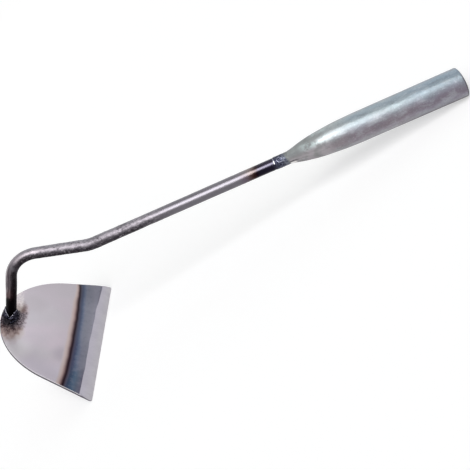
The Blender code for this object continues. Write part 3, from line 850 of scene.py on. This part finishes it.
# %% [markdown]
# The nose was pinched at both sides as it was drawn, which leaves a hollow there and, just below it, a sharp
# fold that starts at the tip and runs out. Each point of the nose moves inwards by an amount that depends
# on its place. The same pass slants the mouth a little, because it was sawn by hand.

# %% Pinched nose
PINCH_DEPTH, PINCH_SPREAD, PINCH_SHARE = 0.00145, math.radians(24), 0.8
FOLD_AT, FOLD_DEPTH = math.radians(-18), 0.0010
SAWN_SLANT, SAWN_TILT, SAWN_SHORT = 0.125, 0.035, 0.0007
shape = bmesh.from_edit_mesh(tube.data)
for point in shape.verts:
    share = point.co.x / NOSE_LENGTH
    around = math.atan2(abs(point.co.y), abs(point.co.z))
    from_side = math.pi / 2 - around
    fade = math.sin(math.pi * min(1.0, share / PINCH_SHARE)) ** 2 * max(0.0, 1 - share)
    fold = 0.55 * math.exp(-((from_side / PINCH_SPREAD) ** 2)) + 0.45 * math.exp(-abs(from_side) / 0.16)
    radius = math.hypot(point.co.y, point.co.z)
    off_fold = abs(math.atan2(point.co.z, abs(point.co.y)) - FOLD_AT)
    along_nose = ease(point.co.x, 0.0005, 0.0035) * (1 - ease(point.co.x, 0.007, 0.022))
    sharp = FOLD_DEPTH * along_nose * math.exp(-off_fold / 0.11)
    if radius < tube_radius(point.co.x) - 0.5 * tube_wall(point.co.x):
        sharp = 0
    k = (radius - PINCH_DEPTH * fade * fold - sharp) / radius
    point.co.y *= k
    point.co.z *= k
    sawn_off = SAWN_SLANT * point.co.y + SAWN_TILT * point.co.z + SAWN_SHORT
    point.co.x -= ease(point.co.x, 0.118, 0.148) * sawn_off
bmesh.update_edit_mesh(tube.data)
ops.object.mode_set(mode="OBJECT")
drawn = tube.vertex_groups.new(name="drawn")
for point in tube.data.vertices:
    drawn.add([point.index], max(0.12, 1 - point.co.x / 0.085) * min(1.0, point.co.x / 0.006), "REPLACE")
roughen(tube, "drawing_dents", 0.016, 0.0007, "drawn", detail=1)
apply_all(tube)

# %% [markdown]
# The zinc coat is bright but soft: pale clouds and fine grain. Its colour is painted cooler and lighter on the
# upper side and pinker and darker below, a painted reflection, with a painted shade line along the bottom
# near the mouth. The nose is matt and greyer, because the coat was worked and heated there; there too the
# colour is painted by height, with painted shade in the fold and a painted highlight on the lip at the tip.
# The rim of the mouth is painted dark, lighter on top, as painted shade. The colours follow the height of a
# point round the tube, from -1 below to 1 above.

# %% Zinc finish
zinc = Finish("zinc_coat", 1.0, 0.3)
tube_frame = tool_frame @ Matrix.Translation(tip)
here = zinc.place_in(tube_frame)
x, y, z = zinc.split(here)
clouds = zinc.noise(here, 0.07, detail=4, rough=0.55)
mist = zinc.noise(zinc.stretched(here, 0.4, 1.0, 1.0), 0.2, detail=4, rough=0.6)
grain = zinc.noise(here, 0.7, detail=4, rough=0.75)
lift = zinc.add("VectorMath", here, (0, 0.443, 0.896), operation="DOT_PRODUCT", out=1)
across = zinc.add("VectorMath", zinc.stretched(here, 0, 1, 1), operation="LENGTH", out=1)
height = zinc.sum("DIVIDE", lift, across)
side = zinc.sum("ADD", height, zinc.fade(clouds, 0.3, 0.7, -0.1, 0.1))
# Painted reflection: the coat is painted lighter and cooler on the upper side and darker and pinker below.
coat_and_painted_light = zinc.ramp(side, -1, 1, (
    (-0.98, (132, 130, 135)), (-0.80, (146, 143, 148)), (-0.65, (139, 131, 140)), (-0.50, (123, 113, 121)),
    (-0.35, (124, 115, 124)), (-0.15, (129, 127, 135)), (0.05, (126, 131, 137)), (0.20, (129, 137, 141)),
    (0.35, (137, 147, 151)), (0.60, (134, 146, 153)), (0.80, (135, 146, 154)), (0.98, (147, 155, 160))))
# Near the nose the same painted reflection, paler and greyer.
plain = zinc.ramp(side, -1, 1, (
    (-0.98, (134, 133, 136)), (-0.6, (136, 127, 133)), (-0.3, (130, 124, 129)), (0.0, (132, 135, 138)),
    (0.4, (143, 148, 150)), (0.98, (146, 151, 152))))
coat_and_painted_light = zinc.mix(zinc.fade(x, 62, 42), coat_and_painted_light, plain)
coat_and_painted_light = zinc.mix(zinc.fade(x, 90, 125), coat_and_painted_light, tone(246, 249, 255), "MULTIPLY")
coat_and_painted_light = zinc.mix(zinc.fade(mist, 0.46, 0.68, 0.0, 0.4), coat_and_painted_light, tone(166, 171, 175))
coat_and_painted_light = zinc.mix(zinc.fade(mist, 0.46, 0.3, 0.0, 0.35), coat_and_painted_light, tone(114, 116, 122))
coat_and_painted_light = zinc.mix(zinc.fade(grain, 0.5, 0.72, 0.0, 0.4), coat_and_painted_light, tone(104, 104, 112))
coat_and_painted_light = zinc.mix(zinc.fade(grain, 0.46, 0.28, 0.0, 0.4), coat_and_painted_light, tone(180, 184, 190))
# On the matt nose the colour is painted by height too, as painted light and shade.
matt_nose_painted_light = zinc.ramp(side, -1, 1, (
    (-0.98, (142, 140, 142)), (-0.75, (159, 155, 158)), (-0.4, (158, 154, 157)), (-0.2, (138, 136, 138)),
    (0.0, (127, 128, 129)), (0.3, (122, 125, 126)), (0.6, (134, 138, 138)), (0.98, (146, 149, 150))))
matt_nose_painted_light = zinc.mix(zinc.fade(clouds, 0.35, 0.6, 0.7, 0.0), matt_nose_painted_light, tone(122, 124, 124))
coat_and_painted_light = zinc.mix(zinc.fade(x, 40, 24), coat_and_painted_light, matt_nose_painted_light)
blotch = zinc.fade(zinc.noise(here, 0.13, detail=3, rough=0.6), 0.46, 0.6)
on_nose = zinc.sum("MULTIPLY", zinc.fade(x, 9, 18), zinc.fade(x, 44, 30))
# Pale blotches on the nose, painted cooler on the upper side and warmer below.
pale = zinc.mix(zinc.fade(height, -0.3, 0.2), tone(158, 153, 157), tone(160, 170, 170))
coat_and_painted_light = zinc.mix(zinc.sum("MULTIPLY", zinc.sum("MULTIPLY", blotch, on_nose), 0.8), coat_and_painted_light, pale)
slope = zinc.sum("ARCTAN2", z, zinc.sum("ABSOLUTE", y))
# Painted shade: the fold near the tip is painted dark.
fold_painted_shade = zinc.sum("MULTIPLY", zinc.near(slope, -0.31, 0.16), zinc.sum("MULTIPLY", zinc.fade(x, -1, 0.5), zinc.fade(x, 12, 4)))
coat_and_painted_light = zinc.mix(fold_painted_shade, coat_and_painted_light, tone(70, 66, 70))
# Painted highlight: the lip below the fold at the tip is painted nearly white.
lip_painted_highlight = zinc.sum("MULTIPLY", zinc.near(slope, -0.66, 0.26), zinc.sum("MULTIPLY", zinc.fade(x, 0, 0.8), zinc.fade(x, 6.5, 4)))
coat_and_painted_light = zinc.mix(lip_painted_highlight, coat_and_painted_light, tone(248, 247, 244))
# Painted shade: a dark line painted along the bottom of the tube towards the mouth.
bottom_painted_shade = zinc.sum("MULTIPLY", zinc.fade(height, -0.90, -0.96), zinc.fade(x, 85, 115))
coat_and_painted_light = zinc.mix(bottom_painted_shade, coat_and_painted_light, tone(92, 88, 95))
# Painted shade: the rounded rim of the mouth is painted dark, lighter on the upper side.
mouth_painted_shade = zinc.mix(zinc.fade(height, 0.3, 0.6), tone(84, 82, 88), tone(122, 131, 140))
sawn_off = zinc.sum("ADD", zinc.sum("MULTIPLY", y, SAWN_SLANT), zinc.sum("MULTIPLY", z, SAWN_TILT))
from_tip = zinc.sum("ADD", x, sawn_off)
coat_and_painted_light = zinc.mix(zinc.fade(from_tip, 149.9, 150.7, 0.0, 0.85), coat_and_painted_light, mouth_painted_shade)
satin = zinc.fade(mist, 0.3, 0.7, 0.31, 0.41)
satin = zinc.sum("ADD", satin, zinc.fade(x, 34, 18, 0.0, 0.34))
zinc.paint(colour=coat_and_painted_light, roughness=satin)
dimples = zinc.noise(zinc.stretched(here, 0.3, 1.0, 1.0), 0.3, detail=2, rough=0.6)
zinc.bump(zinc.mix(0.35, zinc.mix(0.6, grain, mist), dimples), 0.0006, 0.9)
tube.data.materials.append(zinc.material)
set_down(tube, tube_frame, 35)
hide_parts("socket_tube")

# %% [markdown]
# The foot weld was laid in short passes that climb the bar at its two broad sides and stay low in front
# and behind, so their crests make a V. A pass is a row of dabs that overlap like fallen coins. One dab is
# a flattened ball; its copies are set along arcs round the bar, joined, and fused into one skin. The part
# of the skin that would lie inside the plate is pressed flat onto it, so the weld stays closed below.

# %% Foot weld
lean = UP + BLADE_SLOPE
PLATE_TOP = 0.00005
chance = random.Random(11)


def bar_centre(height):
    """Where the bar's axis is above the blade, in the blade's frame."""
    return height / math.tan(lean)


def around_bar(turn, away, height):
    """A place in the blade's frame, given by its turn round the bar, its distance from it and its height."""
    return Vector((bar_centre(height) + away * math.cos(turn), away * math.sin(turn), height))


start_clean()
ops.mesh.primitive_uv_sphere_add(segments=20, ring_count=12, radius=0.001, location=(0, 0, 0), scale=(1, 0.8, 0.8))
dab = newly_added("dab")
places = []
for away, low, climb, size in ((0.0063, 0.0004, 0.0004, 1.75), (0.0058, 0.0005, 0.0030, 1.6), (0.0052, 0.0004, 0.0056, 1.3)):
    for i in range(22):
        turn = math.tau * (i + 0.4 * chance.random()) / 22
        steep = abs(math.cos(turn)) ** 1.4
        spot = around_bar(turn, away, low + climb * steep)
        grow = size * (1 + 0.2 * chance.uniform(-1, 1)) * (0.75 + 0.25 * steep)
        tilt = Matrix.Rotation(turn + math.pi / 2 + 0.4 * chance.uniform(-1, 1), 4, "Z")
        places.append(Matrix.Translation(spot) @ tilt @ Matrix.Scale(grow, 4))
for i in range(13):
    share = i / 12
    spot = Vector((0.0052 + 0.0010 * math.sin(share * 3) - 0.0030 * share ** 2, 0.0030 - 0.0146 * share, 0.0004))
    grow = 1.5 + 0.5 * math.sin(share * 3) - 0.5 * share + 0.3 * chance.uniform(-1, 1)
    places.append(Matrix.Translation(spot) @ Matrix.Scale(grow, 4))
foot_weld = copies_of(dab, places, "foot_weld_beads")
fuse(foot_weld, 0.00024, 1)
roughen(foot_weld, "slag_lumps", 0.0016, 0.0008, detail=1)
roughen(foot_weld, "slag_crust", 0.0005, 0.0002, detail=1)
apply_all(foot_weld)
edit(foot_weld)
pick(foot_weld, lambda p: p.z < PLATE_TOP)
ops.transform.resize(value=(1, 1, 0.02), center_override=(0, 0, PLATE_TOP))
ops.object.mode_set(mode="OBJECT")

# %% [markdown]
# Along the crests of the arms the weld metal is bare, and its bright tone is partly a painted highlight.
# Each crest is a thin bead: small balls along an arm, from high on the side of the bar to the point of the
# V in front of it, fused as before.

# %% Bright crests
arms = {
    "left": ((180, 8.2), (200, 7.6), (222, 6.0), (242, 3.9), (258, 2.1)),
    "right": ((350, 9.0), (336, 8.5), (320, 7.6), (307, 6.5)),
    "low right": ((297, 4.9), (286, 3.3), (274, 1.5), (265, 0.6)),
}
start_clean()
ops.mesh.primitive_ico_sphere_add(subdivisions=2, radius=0.001, location=(0, 0, 0))
ball = newly_added("ball")
places = []
for arm in arms.values():
    for (turn0, h0), (turn1, h1) in zip(arm, arm[1:]):
        for i in range(7):
            share = i / 7
            turn = math.radians(turn0 + (turn1 - turn0) * share)
            height = (h0 + (h1 - h0) * share + 0.12 * chance.uniform(-1, 1)) / 1000
            away = 0.0056 + 0.0022 * max(0.0, 1 - height / 0.0026) ** 1.5
            places.append(Matrix.Translation(around_bar(turn, away, height)) @ Matrix.Scale(0.36 + 0.14 * chance.random(), 4))
crests = copies_of(ball, places, "weld_crests")
fuse(crests, 0.00014, 1)
apply_all(crests)

# %% [markdown]
# Slag is nearly black and rough, with a few small, bluish painted glints. Drops of spatter, thrown
# out by the arc, sit on the plate round it: one drop is modelled and copied at seeded random places.

# %% Slag finish
slag = Finish("burnt_slag", 1.0, 0.25)
here = slag.place_in(blade_frame)
crust = slag.noise(here, 0.55, detail=6, rough=0.7)
# Painted glints: bluish highlights at the peaks of a fine noise.
painted_glints = slag.noise(here, 0.9, detail=3, rough=0.6)
black = slag.mix(slag.fade(crust, 0.38, 0.62), tone(9, 8, 15), tone(42, 41, 54))
black = slag.mix(slag.fade(painted_glints, 0.57, 0.67, 0.0, 0.7), black, tone(100, 100, 114))
slag.paint(colour=black, roughness=slag.fade(crust, 0.3, 0.7, 0.2, 0.42))
slag.bump(crust, 0.0003, 0.8)
# The crests are bare weld metal; their bright tone is partly a painted highlight.
crest_metal_and_painted_glint = Finish("bare_weld_crest", 1.0, 0.3)
here = crest_metal_and_painted_glint.place_in(blade_frame)
patina = crest_metal_and_painted_glint.noise(here, 0.7, detail=4, rough=0.6)
crest_metal_and_painted_glint.paint(colour=crest_metal_and_painted_glint.mix(crest_metal_and_painted_glint.fade(patina, 0.42, 0.62), tone(86, 85, 98), tone(190, 190, 201)), roughness=0.3)
for piece, finish in ((foot_weld, slag), (crests, crest_metal_and_painted_glint)):
    piece.data.materials.append(finish.material)
    set_down(piece, blade_frame, 60)
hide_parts("blade_weld")

# %% Spatter drops
start_clean()
ops.mesh.primitive_ico_sphere_add(subdivisions=2, radius=0.0005, location=(0, 0, 0), scale=(1, 1, 0.6))
drop = newly_added("drop")
places = []
for i in range(110):
    turn = chance.uniform(-math.pi, math.pi)
    far = chance.uniform(0.55, 1.0) ** 0.9
    spot = Vector((0.0122 * far * math.cos(turn), 0.020 * far * math.sin(turn) - 0.003, 0))
    size = chance.choice((0.35, 0.5, 0.7, 1.0))
    if spot.x > -0.0078 and (spot.y < 0.004 or chance.random() < 0.15):
        places.append(Matrix.Translation(spot) @ Matrix.Scale(size, 4))
spatter = copies_of(drop, places, "weld_spatter")
spatter.data.materials.append(slag.material)
set_down(spatter, blade_frame, 60)

# %% [markdown]
# In front of the socket a low weld runs round the bar, laid in slanting dabs that show as crescents, and it
# closes the gap up to the tip of the tube. One crescent is a thin flattened ball; its copies go round the
# bar row by row, a tapered sleeve joins them, and all are fused as before.

# %% Socket weld
start_clean()
ops.mesh.primitive_uv_sphere_add(segments=24, ring_count=12, radius=0.003, location=(0, 0, 0), scale=(0.6, 1, 0.28))
dab = newly_added("crescent")
places = []
for row, at in enumerate((-0.0112, -0.0084, -0.0056, -0.0028)):
    for i in range(12):
        turn = math.tau * (i + 0.37 * row + 0.2 * chance.uniform(-1, 1)) / 12
        slant = Matrix.Rotation(0.6 + 0.3 * chance.uniform(-1, 1), 4, "Z")
        out = Matrix.Translation((at + 0.0003 * chance.uniform(-1, 1), 0, skin_radius - 0.00052))
        places.append(Matrix.Rotation(turn, 4, "X") @ out @ slant)
ring_weld = copies_of(dab, places, "socket_weld_bead")
start_clean()
ops.mesh.primitive_cone_add(
    vertices=96, radius1=skin_radius + 0.00002, radius2=0.00550, depth=0.0131, location=(-0.00635, 0, 0),
    rotation=(0, math.pi / 2, 0))
sleeve = newly_added("weld_sleeve")
ring_weld.select_set(True)
bpy.context.view_layer.objects.active = ring_weld
ops.object.join()
fuse(ring_weld, 0.0002)
roughen(ring_weld, "bead_skin", 0.0012, 0.00022, detail=2)
apply_all(ring_weld)

# %% [markdown]
# Thin curls sit on the upper side of this weld, coloured pale as painted highlights on the edges of its
# ripples, and a bead painted nearly white, a painted highlight, marks where it starts. Each is part of a
# thin ring: a torus with a gap cut in it, laid flat and then wrapped round the bar by turning each point's
# sideways place into an angle.

# %% Pale curls
curls = []
for at, around, radius, gap_from, gap_to in (
        (-0.0074, 0.80, 0.0023, -60, 60), (-0.0062, 0.74, 0.0009, 90, 250), (-0.0104, 1.05, 0.0014, 20, 220)):
    start_clean()
    ops.mesh.primitive_torus_add(major_segments=72, minor_segments=10, major_radius=radius, minor_radius=0.00024)
    curl = newly_added("curl")
    edit(curl)
    pick(curl, lambda p: (math.degrees(math.atan2(p.y, p.x)) - gap_from) % 360 < gap_to - gap_from)
    ops.mesh.delete(type="VERT")
    ops.mesh.select_all(action="SELECT")
    ops.mesh.fill_holes(sides=0)
    ops.object.mode_set(mode="OBJECT")
    for point in curl.data.vertices:
        out = skin_radius + 0.00036 + point.co.z
        turn = point.co.y / out + around
        point.co = (point.co.x + at, -out * math.sin(turn), out * math.cos(turn))
    edit(curl)
    ops.mesh.select_all(action="SELECT")
    ops.mesh.normals_make_consistent(inside=False)
    ops.object.mode_set(mode="OBJECT")
    curls.append(curl)
start_clean()
ops.mesh.primitive_torus_add(
    major_segments=96, minor_segments=12, major_radius=skin_radius + 0.0001, minor_radius=0.00056,
    location=(-0.0127, 0, 0), rotation=(0, math.pi / 2, 0))
start_bead = newly_added("start_bead")
edit(start_bead)
pick(start_bead, lambda p: not 0.22 < math.atan2(-p.y, p.z) < 1.22)
ops.mesh.delete(type="VERT")
ops.mesh.select_all(action="SELECT")
ops.mesh.fill_holes(sides=0)
ops.object.mode_set(mode="OBJECT")
start_clean()
for curl in curls:
    curl.select_set(True)
bpy.context.view_layer.objects.active = curls[0]
ops.object.join()
curls = curls[0]
curls.name = curls.data.name = "oxide_curls"

# %% Blued weld finish
blued = Finish("blued_weld", 1.0, 0.34)
here = blued.place_in(tube_frame)
x, y, z = blued.split(here)
swirl = blued.noise(here, 0.35, detail=5, rough=0.65, twist=1.5)
steel_blue = blued.mix(blued.fade(swirl, 0.4, 0.62), tone(42, 43, 57), tone(80, 83, 100))
toward_tip = blued.fade(blued.sum("ADD", x, blued.fade(swirl, 0.3, 0.7, -1.2, 1.2)), -7.0, -3.5)
steel_blue = blued.mix(toward_tip, steel_blue, blued.mix(blued.fade(swirl, 0.4, 0.6), tone(72, 75, 88), tone(106, 110, 120)))
steel_blue = blued.mix(blued.fade(x, -10.5, -13.0), steel_blue, tone(42, 40, 54))
lift = blued.add("VectorMath", here, (0, 0.443, 0.896), operation="DOT_PRODUCT", out=1)
slanted = blued.sum("ADD", x, blued.sum("MULTIPLY", lift, 0.22))
steel_blue = blued.mix(blued.fade(slanted, -2.2, -1.2), steel_blue, tone(122, 125, 125))
blued.paint(colour=steel_blue, roughness=blued.sum("ADD", blued.fade(swirl, 0.3, 0.7, 0.32, 0.5), blued.fade(slanted, -2.4, -1.2, 0.0, 0.3)))
blued.bump(swirl, 0.00015, 0.6)
# Painted highlight: the curls are coloured pale, as highlights on the edges of the weld's ripples.
painted_curl_highlight = Finish("pale_oxide", 1.0, 0.4)
here = painted_curl_highlight.place_in(tube_frame)
painted_curl_highlight.paint(colour=painted_curl_highlight.mix(painted_curl_highlight.fade(painted_curl_highlight.noise(here, 0.6), 0.4, 0.6), tone(122, 124, 144), tone(172, 175, 192)))
# Painted highlight: the bead where the weld starts is painted nearly white on its lower part.
painted_start_highlight = Finish("bright_weld_start", 1.0, 0.35)
x, y, z = painted_start_highlight.split(painted_start_highlight.place_in(tube_frame))
painted_start_highlight.paint(colour=painted_start_highlight.mix(painted_start_highlight.fade(z, 4.9, 4.2), tone(132, 134, 150), tone(252, 252, 254)))
for piece, finish in ((ring_weld, blued), (curls, painted_curl_highlight), (start_bead, painted_start_highlight)):
    piece.data.materials.append(finish.material)
    set_down(piece, tube_frame, 60)
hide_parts("socket_weld")

# %% [markdown]
# Two softboxes stand on the camera's side, above it: a bright one, rolled so that its long side follows
# the hoe, draws the white stripe along the bar and the tube, and a wide weak one lies round it. A third,
# slightly cool, hangs behind the hoe.

# %% Lamps
target = Vector((0.03, 0, 0.05))
panels = []


def softbox(name, towards, distance, width, height, brightness, along=(1, 0, 0), colour=(1, 1, 1)):
    """A rectangular lamp that faces the hoe. Its brightness is the light that its surface sends out."""
    lamp = bpy.data.lights.new(name, "AREA")
    lamp.shape = "RECTANGLE"
    lamp.size, lamp.size_y = width, height
    lamp.color = colour
    lamp.energy = brightness * width * height * math.pi
    holder = bpy.data.objects.new(name, lamp)
    bpy.context.scene.collection.objects.link(holder)
    way = Vector(towards).normalized()
    along = Vector(along)
    along = (along - way * along.dot(way)).normalized()
    turned = Matrix((along, way.cross(along), way)).transposed().to_4x4()
    holder.matrix_world = Matrix.Translation(target + way * distance) @ turned
    for i in range(3):
        for j in range(3):
            spot = turned.to_3x3() @ Vector(((i - 1) / 3 * width, (j - 1) / 3 * height, 0))
            panels.append((target + way * distance + spot, way, brightness * width * height / 9))
    print(name, "at", [round(c, 2) for c in holder.location], "m")


softbox("key_box", (-0.035, -0.638, 0.770), 1.71, 1.65, 0.99, 4.3, (0.496, 0.590, 0.637))
softbox("wide_box", (-0.05, -0.60, 0.80), 1.8, 2.2, 1.5, 0.55)
softbox("back_box", (0.15, 0.72, 0.69), 2.0, 1.8, 1.3, 0.45, colour=(0.86, 0.97, 1.0))

# %% [markdown]
# The floor is one large pale sheet. The lamps light it unevenly, so each of its points is told how much
# light is missing there for plain white, and glows by that much, but only for what the camera and the
# metal see: the sheet still takes the hoe's shadow. The sky is white to look at and softer as light.

# %% Floor and sky
SKY_LIGHT, FLOOR_SHADE = 0.30, 0.60
start_clean()
ops.mesh.primitive_grid_add(x_subdivisions=90, y_subdivisions=90, size=14, location=(0, 0, -0.0002))
floor = newly_added("floor")
missing = floor.data.attributes.new("missing_light", "FLOAT", "POINT")
for point in floor.data.vertices:
    light = SKY_LIGHT
    for place, way, power in panels:
        step = place - point.co
        light += power * max(0.0, step.z * step.dot(way)) / (math.pi * step.length_squared ** 2)
    missing.data[point.index].value = 1.01 - FLOOR_SHADE * light
glows = [mark.value for mark in missing.data]
print("glow of the floor from", round(min(glows), 2), "to", round(max(glows), 2))
paper = bpy.data.materials.new("white_floor")
paper.use_nodes = True
nodes, links = paper.node_tree.nodes, paper.node_tree.links
cover = nodes["Principled BSDF"]
cover.inputs["Base Color"].default_value = (FLOOR_SHADE, FLOOR_SHADE, FLOOR_SHADE, 1)
cover.inputs["Roughness"].default_value = 1.0
cover.inputs["Specular IOR Level"].default_value = 0.0
cover.inputs["Emission Color"].default_value = (1, 1, 1, 1)


def seen_by_eye_or_mirror(nodes, links):
    """1 for rays from the camera and for those that metal or glass sends on."""
    path = nodes.new("ShaderNodeLightPath")
    total = path.outputs["Is Camera Ray"]
    for name in ("Is Glossy Ray", "Is Transmission Ray"):
        either = nodes.new("ShaderNodeMath")
        either.operation = "MAXIMUM"
        links.new(total, either.inputs[0])
        links.new(path.outputs[name], either.inputs[1])
        total = either.outputs[0]
    return total


mark = nodes.new("ShaderNodeAttribute")
mark.attribute_name = "missing_light"
glow = nodes.new("ShaderNodeMath")
glow.operation = "MULTIPLY"
links.new(seen_by_eye_or_mirror(nodes, links), glow.inputs[0])
links.new(mark.outputs["Fac"], glow.inputs[1])
links.new(glow.outputs[0], cover.inputs["Emission Strength"])
floor.data.materials.append(paper)
floor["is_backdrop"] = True

world = bpy.data.worlds.new("studio")
world.use_nodes = True
bpy.context.scene.world = world
nodes, links = world.node_tree.nodes, world.node_tree.links
level = nodes.new("ShaderNodeMapRange")
links.new(seen_by_eye_or_mirror(nodes, links), level.inputs["Value"])
level.inputs["To Min"].default_value = SKY_LIGHT
level.inputs["To Max"].default_value = 1.0
links.new(level.outputs[0], nodes["Background"].inputs["Strength"])
nodes["Background"].inputs["Color"].default_value = (1, 1, 1, 1)

# %% [markdown]
# The camera stands about 0.6 m from the hoe, rolled to one side, as in the photograph. Its place and turn
# come from fitting a mirror-symmetric hoe to the photograph's outlines.

# %% Camera
lens = bpy.data.cameras.new("photo_camera")
lens.sensor_width = 36
lens.lens = 53.617
lens.clip_start = 0.01
camera = bpy.data.objects.new("photo_camera", lens)
bpy.context.scene.collection.objects.link(camera)
right = Vector((0.7911246, -0.04725343, -0.60982696))
upward = Vector((0.53736256, 0.52993848, 0.65605385))
back = right.cross(upward)
turned = Matrix((right, upward, back)).transposed().to_4x4()
camera.matrix_world = Matrix.Translation((0.18122653, -0.5351368, 0.29396739)) @ turned
bpy.context.scene.camera = camera
bpy.context.scene.view_settings.view_transform = "Standard"
print("camera looks along", [round(-c, 3) for c in back])

# %% Sizes of the CAD model and of the dressed scene, and the end
start_clean()
dressed_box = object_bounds()
boxes = {"cad": [list(corner) for corner in cad_box], "visual": [list(corner) for corner in dressed_box]}
for name, box in boxes.items():
    print(name, [round((b - a) * 1000, 1) for a, b in zip(*box)], "mm")
